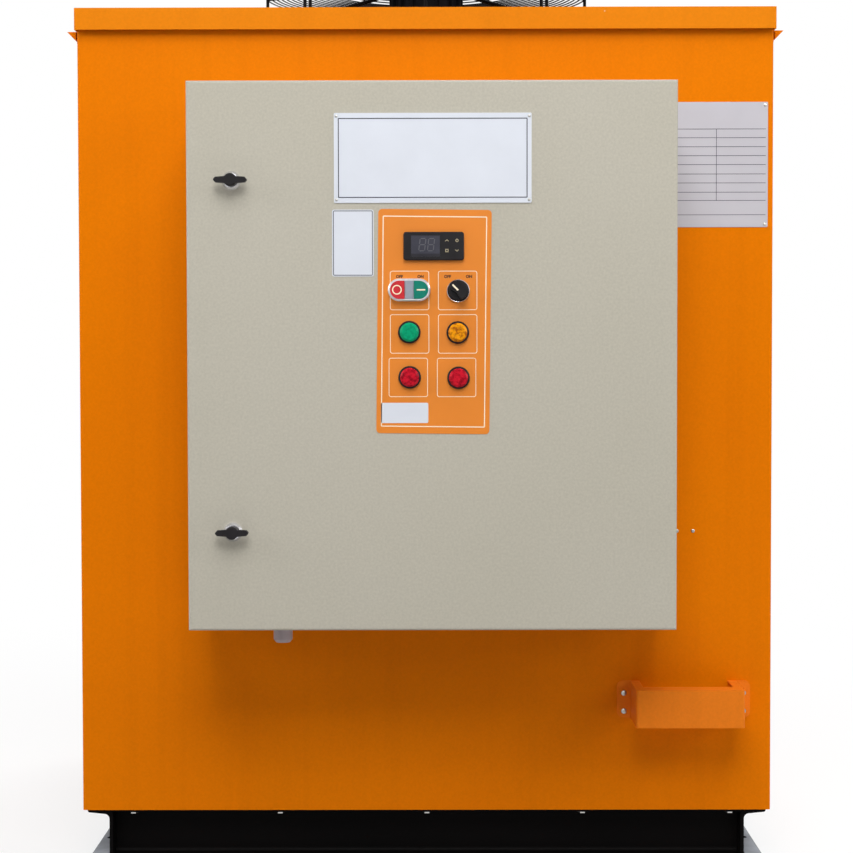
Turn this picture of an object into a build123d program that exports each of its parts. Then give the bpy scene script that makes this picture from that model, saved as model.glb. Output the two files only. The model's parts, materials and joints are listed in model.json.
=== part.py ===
from build123d import *
import math
import os

# Air-cooled packaged water chiller. X is to the viewer's right, Y into the machine, Z up.
# The origin is on the ground at the centre of the base frame. All sizes are in millimetres.

os.makedirs("parts", exist_ok=True)

# Cabinet
cabinet_width = 954.0
cabinet_depth = 900.0
cabinet_height = 1103.0  # from the base frame's top to the underside of the roof
sheet = 2.0
bend = 3.0
panel_return = 40.0  # front and rear panels fold round the corners by this much
tray_height = 25.0
deck_height = 485.0  # from the base frame's top to the top edge of the lower side panels
panel_fold = 15.0
seam = 0.5

# Base frame of rolled channel, flanges outwards
channel_height = 75.0
channel_flange = 35.0
channel_web = 4.8
channel_toe = 5.0
channel_root = 8.0
channel_root_radius = 7.0
channel_toe_radius = 3.0
cabinet_overhang_side = 5.0
cabinet_overhang_front = 8.5
anchor_gauge = 20.0  # from the back of the web to the holes
anchor_spacing_y = 640.0
anchor_hole_radius = 7.0

# Roof cap and the hoods along both sides under it
lip_height = 29.5
roof_reach_front = 12.0
roof_reach_side = 2.2
roof_corner = 2.5
hood_reach = 15.0
hood_nose = 12.0
hood_drop = 12.5
hood_leg = 16.0
hood_sheet = 1.5
hood_setback = 10.0

# Condenser coils
coil_frame_depth = 46.0
coil_frame_border = 25.0
coil_frame_head = 50.0
coil_depth = 36.0
coil_flange = 8.0  # the frame's front lip stands this far in over the fins
coil_flange_sheet = 2.0

# Fan
fan_hole_radius = 240.0
ring_clearance = 4.0
ring_wall = 3.0
ring_depth = 62.0
ring_flange_radius = 275.0
ring_flange = 3.0
ring_mouth = 9.0  # radius of the rounding between the flange and the throat
ring_mouth_steps = 3  # the rounding is spun in this many steps
blade_count = 5
tip_clearance = 6.0
blade_root_chord = 92.0
blade_middle_chord = 118.0
blade_tip_chord = 134.0
blade_root_pitch = 36.0
blade_middle_pitch = 28.0
blade_tip_pitch = 21.0
blade_camber = 9.0
blade_root_thickness = 6.0
blade_tip_thickness = 3.0
blade_sweep = 26.0  # the tip's centre leans this far forward
blade_seat = 8.0  # the blade's root starts this deep in the hub
hub_radius = 58.0
hub_height = 96.0
hub_crown = 12.0
blade_sink = 30.0  # blade centreline below the roof
motor_radius = 58.0
motor_gap = 6.0
motor_rib_count = 16
motor_rib = 3.0
motor_rib_depth = 6.0
motor_cap = 16.0
guard_radius = 250.0
guard_height = 108.0  # from the ring's flange to the top of the guard
wire = 3.0
leg_wire = 5.0
grille_pitch = 38.0
grille_rings = 4
cage_pitch = 52.0
cage_rings = 2
weld = 0.5  # the rings of the cage sink this far into the upright wires
twin_leg_gap = 12.0
spoke_seat = 25.0  # the radial wires reach this far in over the motor

# Electrical enclosure on the front panel
box_width = 624.0
box_height = 700.0
box_centre_x = 9.0
box_bottom = 355.0
box_depth = 220.0  # from the front panel to the face of the door
door_pan = 20.0
door_radius = 3.0
door_gap = 12.0  # between the back edge of the door and the walls of the box
rim_inset = 33.0
rim_lip = 19.5
gasket_width = 7.0
gasket_thickness = 10.0
plate_margin_x = 40.0
plate_margin_z = 40.0
plate_standoff = 15.0
plate_thickness = 2.5
plate_fold = 8.0
entry_plate_width = 240.0
entry_plate_depth = 110.0
entry_plate_from_panel = 55.0
entry_plate_from_edge = 25.0

# Inside the enclosure, on the mounting plate: rows are measured down from the plate's top edge
rail_width = 35.0
rail_depth = 7.5
rail_lip = 1.5
rail_crown = 25.0
rail_margin = 45.0
rail_rows = (125.0, 330.0, 510.0)
duct_width = 25.0
duct_depth = 40.0
duct_wall = 1.8
duct_lid = 1.5
duct_rows = (5.0, 225.0, 420.0)
breaker_count = 6
breaker_width = 17.5
breaker_height = 82.0
breaker_depth = 44.0
breaker_neck = 45.0
breaker_nose = 18.0
breaker_gap = 0.5
contactor_count = 3
contactor_width = 45.0
contactor_height = 76.0
contactor_depth = 78.0
contactor_step = 14.0
contactor_gap = 14.0
contactor_head = 38.0
terminal_count = 14
terminal_pitch = 8.0
terminal_height = 46.0
terminal_depth = 38.0
terminal_slot = 1.2
terminal_slot_depth = 7.0
device_row_inset = 70.0  # from the plate's left edge to the first device

# Door hinges, on the right edge
hinge_edge = 12.0  # from the door's right edge to the pin
hinge_pin_radius = 3.0
hinge_boss_radius = 5.0
hinge_running_gap = 0.1
hinge_height = 50.0
hinge_from_end = 110.0
hinge_leaf = 14.0
hinge_arm = 2.5
hinge_foot_start = 4.5  # behind the pin
hinge_foot_end = 12.0
hinge_crank = 9.5

# Quarter-turn locks, on the left edge
lock_edge = 57.5
lock_from_end = 126.5
wing_length = 42.0
wing_root = 9.5
wing_tip = 6.5
wing_depth = 10.0
wing_round = 2.5
wing_hub_radius = 8.2
wing_height = 16.0
wing_chamfer = 1.5
rosette_radius = 12.0
rosette_face = 9.2
rosette_height = 5.0
rosette_rim = 1.5
lock_shaft_radius = 5.0
lock_running_gap = 0.1
tongue_length = 45.0
tongue_width = 16.0
tongue_thickness = 3.0
tongue_behind_rim = 2.0

# Controls on the door: places are from the door's lower left corner
controller_place = (314.3, 490.0)
controller_face = (77.0, 36.0)
controller_body = (71.0, 29.0)
controller_corner = 3.5
controller_chamfer = 1.2
controller_front = 6.0
controller_depth = 65.0
window_place = -10.5  # from the controller's centre
window_size = (37.0, 27.0)
window_recess = 0.8
twin_place = (283.1, 434.6)
twin_length = 54.0
twin_width = 28.6
twin_front = 9.0
twin_rim = 2.6
twin_chamfer = 1.6
twin_well_depth = 7.0
lamp_width = 11.4
lamp_below_rim = 0.8
button_running_gap = 0.3
button_travel = 3.0
stop_proud = 4.0
start_proud = 1.0
selector_place = (345.4, 433.4)
selector_bezel_radius = 14.5
selector_bezel_height = 3.5
selector_ring = 1.2
selector_knob_radius = 12.4
selector_base = 4.5
selector_grip = 15.0
selector_grip_width = 10.0
selector_grip_waist = 6.5
selector_chamfer = 1.0
selector_gap = 0.5
selector_rest = 45.0  # the grip's lean at its left stop
pilot_places = ((283.1, 381.0), (344.7, 380.5), (283.5, 323.7), (345.6, 322.9))
pilot_bezel_radius = 14.4
pilot_bezel_height = 5.0
pilot_bezel_chamfer = 1.4
pilot_lens_radius = 12.0
pilot_lens_height = 5.0
pilot_lens_chamfer = 2.6
device_hole_radius = 11.2
device_barrel_radius = 11.0
device_nut_width = 27.0  # across the flats
device_nut = 6.0
device_depth = 48.0

# Cable gland under the box
gland_from_edge = 113.0
gland_y_in_box = 110.0  # from the front panel
gland_hole_radius = 10.0
gland_fit = 0.2
gland_hex = 24.0  # across the flats
gland_hex_height = 8.0
gland_cap_radius = 12.6
gland_cap_end = 9.5
gland_cap_rim = 4.0
gland_drop = 30.0
gland_bore_radius = 6.0
gland_thread = 12.0  # above the floor of the box
gland_nut = 5.0

# Folded bracket low on the front panel
bracket_from_edge = 121.0  # from the cabinet's right edge to the bracket's centre
bracket_width = 146.0
bracket_bottom = 204.0
bracket_height = 51.0
bracket_depth = 85.0
bracket_foot = 19.0
bracket_front_fold = 30.0
bracket_side_fold = 12.0
bracket_foot_corner = 8.0
bracket_bend = 3.5
bracket_hole_radius = 2.6
bracket_holes_z = (9.0, 34.0)  # from the bracket's bottom edge
bracket_hole_edge = 9.5

# Water sockets on the rear panel
socket_x = -300.0
inlet_z = 250.0
outlet_z = 400.0
socket_radius = 22.0
socket_bore_radius = 15.1
socket_reach = 40.0
socket_inside = 30.0
socket_flange_radius = 32.0
socket_flange = 3.0
socket_clearance = 1.0

# Places worked out from the sizes above
half_width = cabinet_width / 2
half_depth = cabinet_depth / 2
floor_z = channel_height
roof_under = floor_z + cabinet_height
roof_top = roof_under + sheet
deck_z = floor_z + deck_height
base_x = half_width - cabinet_overhang_side
base_y = half_depth - cabinet_overhang_front
web_x = base_x - channel_flange  # back of the side channels' webs
front_y = -half_depth
door_face = front_y - box_depth
door_back = door_face + door_pan
box_left = box_centre_x - box_width / 2
box_right = box_centre_x + box_width / 2
box_top = box_bottom + box_height
rim_y = door_back + door_gap
hinge_x = box_right - hinge_edge
hinge_y = door_face + door_pan / 2
lock_x = box_left + lock_edge
ring_outer = fan_hole_radius - ring_clearance
ring_inner = ring_outer - ring_wall
guard_base = roof_top + ring_flange
guard_top = guard_base + guard_height
plate_left = box_left + plate_margin_x
plate_right = box_right - plate_margin_x
plate_low = box_bottom + plate_margin_z
plate_high = box_top - plate_margin_z
plate_front = front_y - sheet - plate_standoff - plate_thickness
gland_x = box_left + gland_from_edge
gland_y = front_y - gland_y_in_box
bracket_left = half_width - bracket_from_edge - bracket_width / 2
bracket_right = bracket_left + bracket_width
bracket_top = bracket_bottom + bracket_height
bracket_front = front_y - bracket_depth


def block(x0, x1, y0, y1, z0, z1):
    """Box between two corners."""
    place = Pos((x0 + x1) / 2, (y0 + y1) / 2, (z0 + z1) / 2)
    return place * Box(x1 - x0, y1 - y0, z1 - z0)


def rod_z(x, y, z0, z1, radius):
    """Upright cylinder."""
    return Pos(x, y, (z0 + z1) / 2) * Cylinder(radius, z1 - z0)


def rod_y(x, y0, y1, z, radius):
    """Cylinder that runs front to back."""
    return Pos(x, (y0 + y1) / 2, z) * Rot(90, 0, 0) * Cylinder(radius, y1 - y0)


def ring_z(x, y, z0, z1, outer, inner):
    """Flat ring or short pipe, axis upright."""
    return rod_z(x, y, z0, z1, outer) - rod_z(x, y, z0 - 1, z1 + 1, inner)


def hexagon_y(x, y0, y1, z, across_flats):
    """Hexagonal nut blank that runs front to back."""
    plane = Plane(origin=(x, y0, z), x_dir=(1, 0, 0), z_dir=(0, 1, 0))
    return extrude(plane * RegularPolygon(across_flats / 2, 6, major_radius=False), amount=y1 - y0)


def turned_y(x, z, *profile):
    """Solid of revolution about an axis that runs front to back. The profile is (radius, y)."""
    face = make_face(Polyline(*((r, y) for r, y in profile), close=True))
    return Pos(x, 0, z) * revolve(face, axis=Axis.Y)


def turned_z(x, y, *profile):
    """Solid of revolution about an upright axis. The profile is (radius, z)."""
    face = make_face(Plane.XZ * Polyline(*profile, close=True))
    return Pos(x, y, 0) * revolve(face, axis=Axis.Z)


def front_outline(points, y0, y1):
    """Solid with its outline in X and Z, between two depths."""
    face = make_face(Plane.XZ * Polyline(*points, close=True))
    return Pos(0, y1, 0) * extrude(face, amount=y1 - y0)


def bent_strip(points, width, z0, z1):
    """Upright strip that follows a plan line, round at its bends."""
    strip = None
    for (xa, ya), (xb, yb) in zip(points, points[1:]):
        turn = math.degrees(math.atan2(yb - ya, xb - xa))
        place = Pos((xa + xb) / 2, (ya + yb) / 2, (z0 + z1) / 2)
        run = place * Rot(0, 0, turn) * Box(math.hypot(xb - xa, yb - ya), width, z1 - z0)
        strip = run if strip is None else strip + run + rod_z(xa, ya, z0, z1, width / 2)
    return strip


def on_door(place):
    """A place on the door, from its lower left corner, as X and Z."""
    return box_left + place[0], box_bottom + place[1]


def upright_edges(shape, x, y):
    """The upright edges at one corner in plan."""
    edges = shape.edges().filter_by(Axis.Z)
    return [e for e in edges if abs(e.center().X - x) < 0.01 and abs(e.center().Y - y) < 0.01]


def save(name, shape):
    """One sub-part, one STEP file."""
    solids = shape.solids()
    whole = solids[0] if len(solids) == 1 else Compound(children=list(solids))
    export_step(whole, f"parts/{name}.step")


def channel_section():
    """Rolled channel: web along the left, both flanges tapered towards their toes."""
    outline = Polyline(
        (0, 0),
        (channel_flange, 0),
        (channel_flange, channel_toe),
        (channel_web, channel_root),
        (channel_web, channel_height - channel_root),
        (channel_flange, channel_height - channel_toe),
        (channel_flange, channel_height),
        (0, channel_height),
        close=True,
    )
    face = make_face(outline)
    roots = [v for v in face.vertices() if abs(v.X - channel_web) < 0.01]
    face = fillet(roots, radius=channel_root_radius)
    toes = [
        v
        for v in face.vertices()
        if abs(v.X - channel_flange) < 0.01 and 1 < v.Y < channel_height - 1
    ]
    return fillet(toes, radius=channel_toe_radius)


def base_channel(outward, reach, half_length):
    """Channel along one side of the base frame, flanges outwards and its ends square."""
    out = Vector(outward[0], outward[1], 0)
    plane = Plane(origin=out * (reach - channel_flange), x_dir=out, z_dir=out.cross(Vector(0, 0, 1)))
    return extrude(plane * channel_section(), amount=half_length, both=True)


def base_frame():
    """Side channels run through. The front and rear channels stand between their webs."""
    save("base_channel_front", base_channel((0, -1), base_y, web_x))
    save("base_channel_rear", base_channel((0, 1), base_y, web_x))
    for name, side in (("base_channel_left", -1), ("base_channel_right", 1)):
        bar = base_channel((side, 0), base_x, base_y)
        for y in (-anchor_spacing_y / 2, anchor_spacing_y / 2):
            x = side * (web_x + anchor_gauge)
            bar -= rod_z(x, y, -1, channel_height / 2, anchor_hole_radius)
        save(name, bar)


def floor_tray():
    inner_x = half_width - sheet
    inner_y = half_depth - sheet
    top = floor_z + tray_height
    tray = block(-inner_x, inner_x, -inner_y, inner_y, floor_z, top)
    hollow = block(
        -inner_x + sheet, inner_x - sheet, -inner_y + sheet, inner_y - sheet, floor_z + sheet, top + 1
    )
    save("floor_tray", tray - hollow)


def end_panel(side):
    """Front panel with side -1, rear panel with side 1. It folds round both corners."""
    face = side * half_depth
    inner = side * (half_depth - panel_return)
    y0, y1 = min(face, inner), max(face, inner)
    panel = block(-half_width, half_width, y0, y1, floor_z, roof_under)
    corners = upright_edges(panel, -half_width, face) + upright_edges(panel, half_width, face)
    panel = fillet(corners, radius=bend)
    skin = face - side * sheet
    h0, h1 = min(skin, inner - side), max(skin, inner - side)
    return panel - block(
        -half_width + sheet, half_width - sheet, h0, h1, floor_z - 1, roof_under + 1
    )


def rear_panel():
    panel = end_panel(1)
    for z in (inlet_z, outlet_z):
        panel -= rod_y(
            socket_x, half_depth - sheet - 1, half_depth + 1, z, socket_radius + socket_clearance
        )
    return panel


def side_panel(side):
    """Closed lower panel with its top edge folded inwards."""
    length = half_depth - panel_return - seam
    x0, x1 = side * half_width, side * (half_width - sheet)
    x2 = side * (half_width - sheet - panel_fold)
    plate = block(min(x0, x1), max(x0, x1), -length, length, floor_z, deck_z)
    fold = block(min(x0, x2), max(x0, x2), -length, length, deck_z - sheet, deck_z)
    return plate + fold


def plenum_deck():
    x = half_width - sheet - seam
    y = half_depth - sheet - seam
    save("plenum_deck", block(-x, x, -y, y, deck_z, deck_z + sheet))


def coil(side):
    """Condenser coil in its frame, standing on the deck between the corner folds."""
    length = half_depth - panel_return - seam
    z0, z1 = deck_z + sheet, roof_under
    x0 = side * half_width
    x1 = side * (half_width - coil_frame_depth)
    xs = min(x0, x1), max(x0, x1)
    frame = block(*xs, -length, length, z0, z1)
    window = (
        -length + coil_frame_border,
        length - coil_frame_border,
        z0 + coil_frame_border,
        z1 - coil_frame_head,
    )
    frame -= block(xs[0] - 1, xs[1] + 1, *window)
    lips = rectangle_ring_x(*sorted((x0, x0 - side * coil_flange_sheet)), *window, coil_flange)
    middle = (x0 + x1) / 2
    core = block(middle - coil_depth / 2, middle + coil_depth / 2, *window)
    return frame + lips, core


def rectangle_ring_x(x0, x1, y0, y1, z0, z1, width):
    """Rectangular ring that faces sideways, with its outer edges given."""
    outer = block(x0, x1, y0, y1, z0, z1)
    return outer - block(x0 - 1, x1 + 1, y0 + width, y1 - width, z0 + width, z1 - width)


def roof_cap():
    """Shallow lid over the cabinet with a skirt all round and the fan's hole."""
    x = half_width + roof_reach_side
    y = half_depth + roof_reach_front
    low = roof_top - lip_height
    cap = block(-x, x, -y, y, low, roof_top)
    cap = fillet(cap.edges().filter_by(Axis.Z), radius=roof_corner)
    cap -= block(-x + sheet, x - sheet, -y + sheet, y - sheet, low - 1, roof_under)
    return cap - rod_z(0, 0, low, roof_top + 1, fan_hole_radius)


def rain_hood(side):
    """Folded strip under the roof's edge: a leg on the cabinet, a shelf and a hollow nose."""
    top = roof_top - lip_height
    tip = half_width + hood_reach
    nose = tip - hood_nose
    leg = Polyline(
        (half_width, top - hood_leg),
        (half_width + hood_sheet, top - hood_leg),
        (half_width + hood_sheet, top - hood_sheet),
        (nose, top - hood_sheet),
        (nose, top - hood_drop),
        (tip, top),
        (half_width, top),
        close=True,
    )
    face = make_face(Plane.XZ * leg)
    length = half_depth - hood_setback
    strip = extrude(face, amount=length, both=True)
    return strip if side > 0 else mirror(strip, about=Plane.YZ)


def fan_ring():
    """Ring with a flange on the roof, rounded into its throat."""
    low = guard_base - ring_depth
    mouth = []
    for step in range(ring_mouth_steps + 1):
        turn = math.radians(90 * step / ring_mouth_steps)
        inward, down = ring_mouth * math.sin(turn), ring_mouth * (1 - math.cos(turn))
        mouth.append((ring_inner + ring_mouth - inward, guard_base - down))
    return turned_z(
        0,
        0,
        (ring_flange_radius, roof_top),
        (ring_flange_radius, guard_base),
        *mouth,
        (ring_inner, low),
        (ring_outer, low),
        (ring_outer, roof_top),
    )


def blade_section(radius, chord, pitch, thickness, lead):
    """Cambered section of a blade at one radius, as a lens between two arcs."""
    plane = Plane(origin=(radius, lead, roof_top - blade_sink), x_dir=(0, 1, 0), z_dir=(1, 0, 0))
    half = chord / 2
    back = ThreePointArc((-half, 0), (0, blade_camber + thickness / 2), (half, 0))
    belly = ThreePointArc((half, 0), (0, blade_camber - thickness / 2), (-half, 0))
    return plane * Rot(0, 0, pitch) * make_face(Curve(children=[back, belly]))


def fan_blade():
    """Twisted, cambered and swept blade along +X, trimmed to the round of the ring."""
    tip_radius = ring_inner - tip_clearance
    root = hub_radius - blade_seat
    middle = (root + tip_radius) / 2
    middle_thickness = (blade_root_thickness + blade_tip_thickness) / 2
    blade = loft(
        [
            blade_section(root, blade_root_chord, blade_root_pitch, blade_root_thickness, 0),
            blade_section(
                middle, blade_middle_chord, blade_middle_pitch, middle_thickness, blade_sweep / 4
            ),
            blade_section(
                tip_radius, blade_tip_chord, blade_tip_pitch, blade_tip_thickness, blade_sweep
            ),
        ]
    )
    low = roof_top - blade_sink - hub_height
    return blade & rod_z(0, 0, low, low + 2 * hub_height, tip_radius)


def fan_rotor():
    """Hub, hollow from below and crowned on top, with its blades."""
    middle = roof_top - blade_sink
    low, high = middle - hub_height / 2, middle + hub_height / 2
    rotor = turned_z(
        0,
        0,
        (0, low),
        (hub_radius, low),
        (hub_radius, high - hub_crown),
        (hub_radius - hub_crown, high),
        (0, high),
    )
    blade = fan_blade()
    for turn in range(blade_count):
        rotor += Rot(0, 0, 360 / blade_count * turn) * blade
    return rotor


def fan_motor():
    """Ribbed drum under a plain cap that the guard's radial wires hold."""
    low = roof_top - blade_sink + hub_height / 2 + motor_gap
    high = guard_top - wire - leg_wire / 2
    core = motor_radius - motor_rib_depth
    drum = rod_z(0, 0, low, high, core) + rod_z(0, 0, high - motor_cap, high, motor_radius)
    rib = block(core - motor_rib, motor_radius, -motor_rib / 2, motor_rib / 2, low, high)
    for turn in range(motor_rib_count):
        drum += Rot(0, 0, 360 / motor_rib_count * turn) * rib
    return drum


def leg_places():
    """Plan places of the guard's upright wires: single on the axes and in pairs between them."""
    places = []
    for quarter in range(4):
        places.append((guard_radius, 90 * quarter))
        half_gap = math.degrees(twin_leg_gap / 2 / guard_radius)
        places.append((guard_radius, 90 * quarter + 45 - half_gap))
        places.append((guard_radius, 90 * quarter + 45 + half_gap))
    return places


def guard_grille():
    """Concentric wires welded on top of radial ones."""
    seat = guard_top - wire
    grille = None
    for number in range(grille_rings):
        radius = guard_radius - number * grille_pitch
        ring = ring_z(0, 0, seat, guard_top, radius + wire / 2, radius - wire / 2)
        grille = ring if grille is None else grille + ring
    inner = motor_radius - spoke_seat
    for radius, angle in leg_places():
        spoke = block(inner, radius, -wire / 2, wire / 2, seat - leg_wire / 2, seat)
        grille += Rot(0, 0, angle) * spoke
    return grille


def guard_cage():
    """Upright wires and the rings welded round them."""
    high = guard_top - wire - leg_wire / 2
    half = leg_wire / 2
    inner = guard_radius + half - weld
    cage = None
    for radius, angle in leg_places():
        leg = block(radius - half, radius + half, -half, half, guard_base, high)
        leg = Rot(0, 0, angle) * leg
        cage = leg if cage is None else cage + leg
    for number in range(cage_rings):
        z = guard_base + number * cage_pitch
        cage += ring_z(0, 0, z, z + wire, inner + wire, inner)
    return cage


def rectangle_ring(y0, y1, x0, x1, z0, z1, width):
    """Rectangular ring that faces front, with its outer edges given."""
    outer = block(x0, x1, y0, y1, z0, z1)
    return outer - block(x0 + width, x1 - width, y0 - 1, y1 + 1, z0 + width, z1 - width)


def enclosure_body():
    """Box with a folded rim that the door closes on."""
    shell = block(box_left, box_right, rim_y, front_y, box_bottom, box_top)
    shell -= block(
        box_left + sheet,
        box_right - sheet,
        rim_y - 1,
        front_y - sheet,
        box_bottom + sheet,
        box_top - sheet,
    )
    shell += rectangle_ring(
        rim_y, rim_y + sheet, box_left, box_right, box_bottom, box_top, rim_inset
    )
    edge = rim_inset - sheet
    shell += rectangle_ring(
        rim_y - rim_lip,
        rim_y + sheet,
        box_left + edge,
        box_right - edge,
        box_bottom + edge,
        box_top - edge,
        sheet,
    )
    shell += entry_plate()
    return shell - rod_z(gland_x, gland_y, box_bottom - 1, box_bottom + 2 * sheet + 1, gland_hole_radius)


def entry_plate():
    """Cover plate over the cable entries, inside on the floor of the box."""
    x0 = box_left + entry_plate_from_edge
    y1 = front_y - entry_plate_from_panel
    z = box_bottom + sheet
    return block(x0, x0 + entry_plate_width, y1 - entry_plate_depth, y1, z, z + sheet)


def lock_places():
    return (lock_x, box_top - lock_from_end), (lock_x, box_bottom + lock_from_end)


def enclosure_door():
    """Shallow pan, rounded at the folds, with the holes for the locks and the controls."""
    door = block(box_left, box_right, door_face, door_back, box_bottom, box_top)
    door = fillet(door.faces().sort_by(Axis.Y)[0].edges(), radius=door_radius)
    door -= block(
        box_left + sheet,
        box_right - sheet,
        door_face + sheet,
        door_back + 1,
        box_bottom + sheet,
        box_top - sheet,
    )
    skin = door_face - 1, door_face + sheet + 1
    for x, z in lock_places():
        door -= rod_y(x, *skin, z, lock_shaft_radius + lock_running_gap)
    for place in (*pilot_places, twin_place, selector_place):
        x, z = on_door(place)
        door -= rod_y(x, *skin, z, device_hole_radius)
    x, z = on_door(controller_place)
    wide, high = controller_body
    return door - block(
        x - wide / 2 - seam, x + wide / 2 + seam, *skin, z - high / 2 - seam, z + high / 2 + seam
    )


def door_gasket():
    """Foam strip on the inside of the door, opposite the rim."""
    edge = rim_inset - sheet / 2 - gasket_width / 2
    y0 = door_face + sheet
    return rectangle_ring(
        y0,
        min(y0 + gasket_thickness, rim_y - rim_lip),
        box_left + edge,
        box_right - edge,
        box_bottom + edge,
        box_top - edge,
        gasket_width,
    )


def hinge_places():
    return box_top - hinge_from_end, box_bottom + hinge_from_end


def hinge_brackets():
    """Two cranked arms and a pin for each hinge, fixed to the outside of the rim's lip."""
    foot_x = box_right - rim_inset + sheet + hinge_arm / 2
    line = [
        (foot_x, hinge_y + hinge_foot_end),
        (foot_x, hinge_y + hinge_foot_start),
        (hinge_x - hinge_crank, hinge_y),
        (hinge_x, hinge_y),
    ]
    pieces = []
    for z in hinge_places():
        low, high = z - hinge_height / 2, z + hinge_height / 2
        hinge = rod_z(hinge_x, hinge_y, low, high, hinge_pin_radius)
        for start in (low, high - hinge_leaf):
            hinge += bent_strip(line, hinge_arm, start, start + hinge_leaf)
            hinge += rod_z(hinge_x, hinge_y, start, start + hinge_leaf, hinge_boss_radius)
        pieces.append(hinge)
    return Compound(children=pieces)


def hinge_knuckles():
    """Lugs on the inside of the door that turn on the pins."""
    pieces = []
    for z in hinge_places():
        low = z - hinge_height / 2 + hinge_leaf + seam
        high = z + hinge_height / 2 - hinge_leaf - seam
        lug = rod_z(hinge_x, hinge_y, low, high, hinge_boss_radius)
        lug += block(
            hinge_x - hinge_boss_radius,
            hinge_x + hinge_boss_radius,
            door_face + sheet,
            hinge_y,
            low,
            high,
        )
        lug -= rod_z(hinge_x, hinge_y, low - 1, high + 1, hinge_pin_radius + hinge_running_gap)
        pieces.append(lug)
    return Compound(children=pieces)


def lock_rosette(x, z):
    """Conical collar on the door with the shaft's bore."""
    bore = lock_shaft_radius + lock_running_gap
    return turned_y(
        x,
        z,
        (bore, door_face),
        (rosette_radius, door_face),
        (rosette_radius, door_face - rosette_rim),
        (rosette_face, door_face - rosette_height),
        (bore, door_face - rosette_height),
    )


def wing_knob(x, z):
    """Hub with two tapered wings, the shaft and the tongue, which stands upright when released."""
    back = door_face - rosette_height - seam
    front = back - wing_height
    half = wing_length / 2
    wings = front_outline(
        [
            (half, -wing_tip / 2),
            (half, wing_tip / 2),
            (0, wing_root / 2),
            (-half, wing_tip / 2),
            (-half, -wing_tip / 2),
            (0, -wing_root / 2),
        ],
        front,
        front + wing_depth,
    )
    tips = [e for e in wings.edges().filter_by(Axis.Y) if abs(e.center().X) > half - 1]
    wings = chamfer(tips, length=wing_round)
    hub = turned_y(
        0,
        0,
        (0, front),
        (wing_hub_radius - wing_chamfer, front),
        (wing_hub_radius, front + wing_chamfer),
        (wing_hub_radius, back),
        (0, back),
    )
    inner = rim_y + sheet + tongue_behind_rim
    shaft = rod_y(x, back - 1, inner + tongue_thickness, z, lock_shaft_radius)
    tongue = block(
        x - tongue_width / 2,
        x + tongue_width / 2,
        inner,
        inner + tongue_thickness,
        z - tongue_width / 2,
        z + tongue_length,
    )
    tongue_top = [e for e in tongue.edges().filter_by(Axis.Y) if e.center().Z > z + tongue_width]
    tongue = chamfer(tongue_top, length=tongue_thickness)
    return Pos(x, 0, z) * (wings + hub) + shaft + tongue


def hat_rail(z):
    """Top-hat rail along the mounting plate."""
    x0, x1 = plate_left + rail_margin, plate_right - rail_margin
    lips = block(x0, x1, plate_front - rail_lip, plate_front, z - rail_width / 2, z + rail_width / 2)
    lips = Pos(0, -(rail_depth - rail_lip), 0) * lips
    crown = block(
        x0, x1, plate_front - rail_depth, plate_front, z - rail_crown / 2, z + rail_crown / 2
    )
    hollow = rail_crown / 2 - rail_lip
    return lips + crown - block(
        x0 - 1,
        x1 + 1,
        plate_front - rail_depth - 1,
        plate_front - rail_lip,
        z - hollow,
        z + hollow,
    )


def rail_heights():
    return [plate_high - row for row in rail_rows]


def mounting_plate():
    """Plate with its upright edges folded back, and the rails for the switchgear."""
    y1 = plate_front + plate_thickness
    plate = block(plate_left, plate_right, plate_front, y1, plate_low, plate_high)
    for x in (plate_left, plate_right - plate_thickness):
        plate += block(x, x + plate_thickness, plate_front, y1 + plate_fold, plate_low, plate_high)
    for z in rail_heights():
        plate += hat_rail(z)
    return plate


def duct(x0, x1, z0, z1):
    """Cable duct with its lid clipped over the walls."""
    front = plate_front - duct_depth
    shell = block(x0, x1, front, plate_front, z0, z1)
    long_x = x1 - x0 > z1 - z0
    side_x = 0 if long_x else duct_wall
    side_z = duct_wall if long_x else 0
    shell -= block(
        x0 + side_x, x1 - side_x, front + duct_wall, plate_front - duct_wall, z0 + side_z, z1 - side_z
    )
    lap_x = 0 if long_x else duct_lid
    lap_z = duct_lid if long_x else 0
    return shell + block(x0 - lap_x, x1 + lap_x, front, front + duct_wall, z0 - lap_z, z1 + lap_z)


def cable_ducts():
    """A duct up each side of the plate and one over each row of devices."""
    pieces = []
    for x in (plate_left + duct_lid, plate_right - duct_width - duct_lid):
        pieces.append(duct(x, x + duct_width, plate_low + duct_lid, plate_high - duct_lid))
    inner_left = plate_left + duct_width + 2 * duct_lid + seam
    inner_right = plate_right - duct_width - 2 * duct_lid - seam
    for row in duct_rows:
        top = plate_high - row
        pieces.append(duct(inner_left, inner_right, top - duct_width, top))
    return Compound(children=pieces)


def breaker(x, z):
    """Miniature circuit breaker: wide foot, narrow nose and a toggle."""
    foot = plate_front - rail_depth
    x1 = x + breaker_width
    half = breaker_height / 2
    body = block(x, x1, foot - breaker_depth, foot, z - half, z + half)
    nose = foot - breaker_depth - breaker_nose
    body += block(x, x1, nose, foot - breaker_depth, z - breaker_neck / 2, z + breaker_neck / 2)
    third = breaker_width / 3
    toggle = breaker_neck / 4
    return body + block(x + third, x1 - third, nose - toggle / 2, nose, z - toggle / 2, z + toggle)


def contactor(x, z):
    """Contactor: a wide base with its terminals and a raised middle."""
    foot = plate_front - rail_depth
    x1 = x + contactor_width
    half = contactor_height / 2
    body = block(x, x1, foot - contactor_depth + contactor_step, foot, z - half, z + half)
    head = contactor_head / 2
    return body + block(x, x1, foot - contactor_depth, foot, z - head, z + head)


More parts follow.
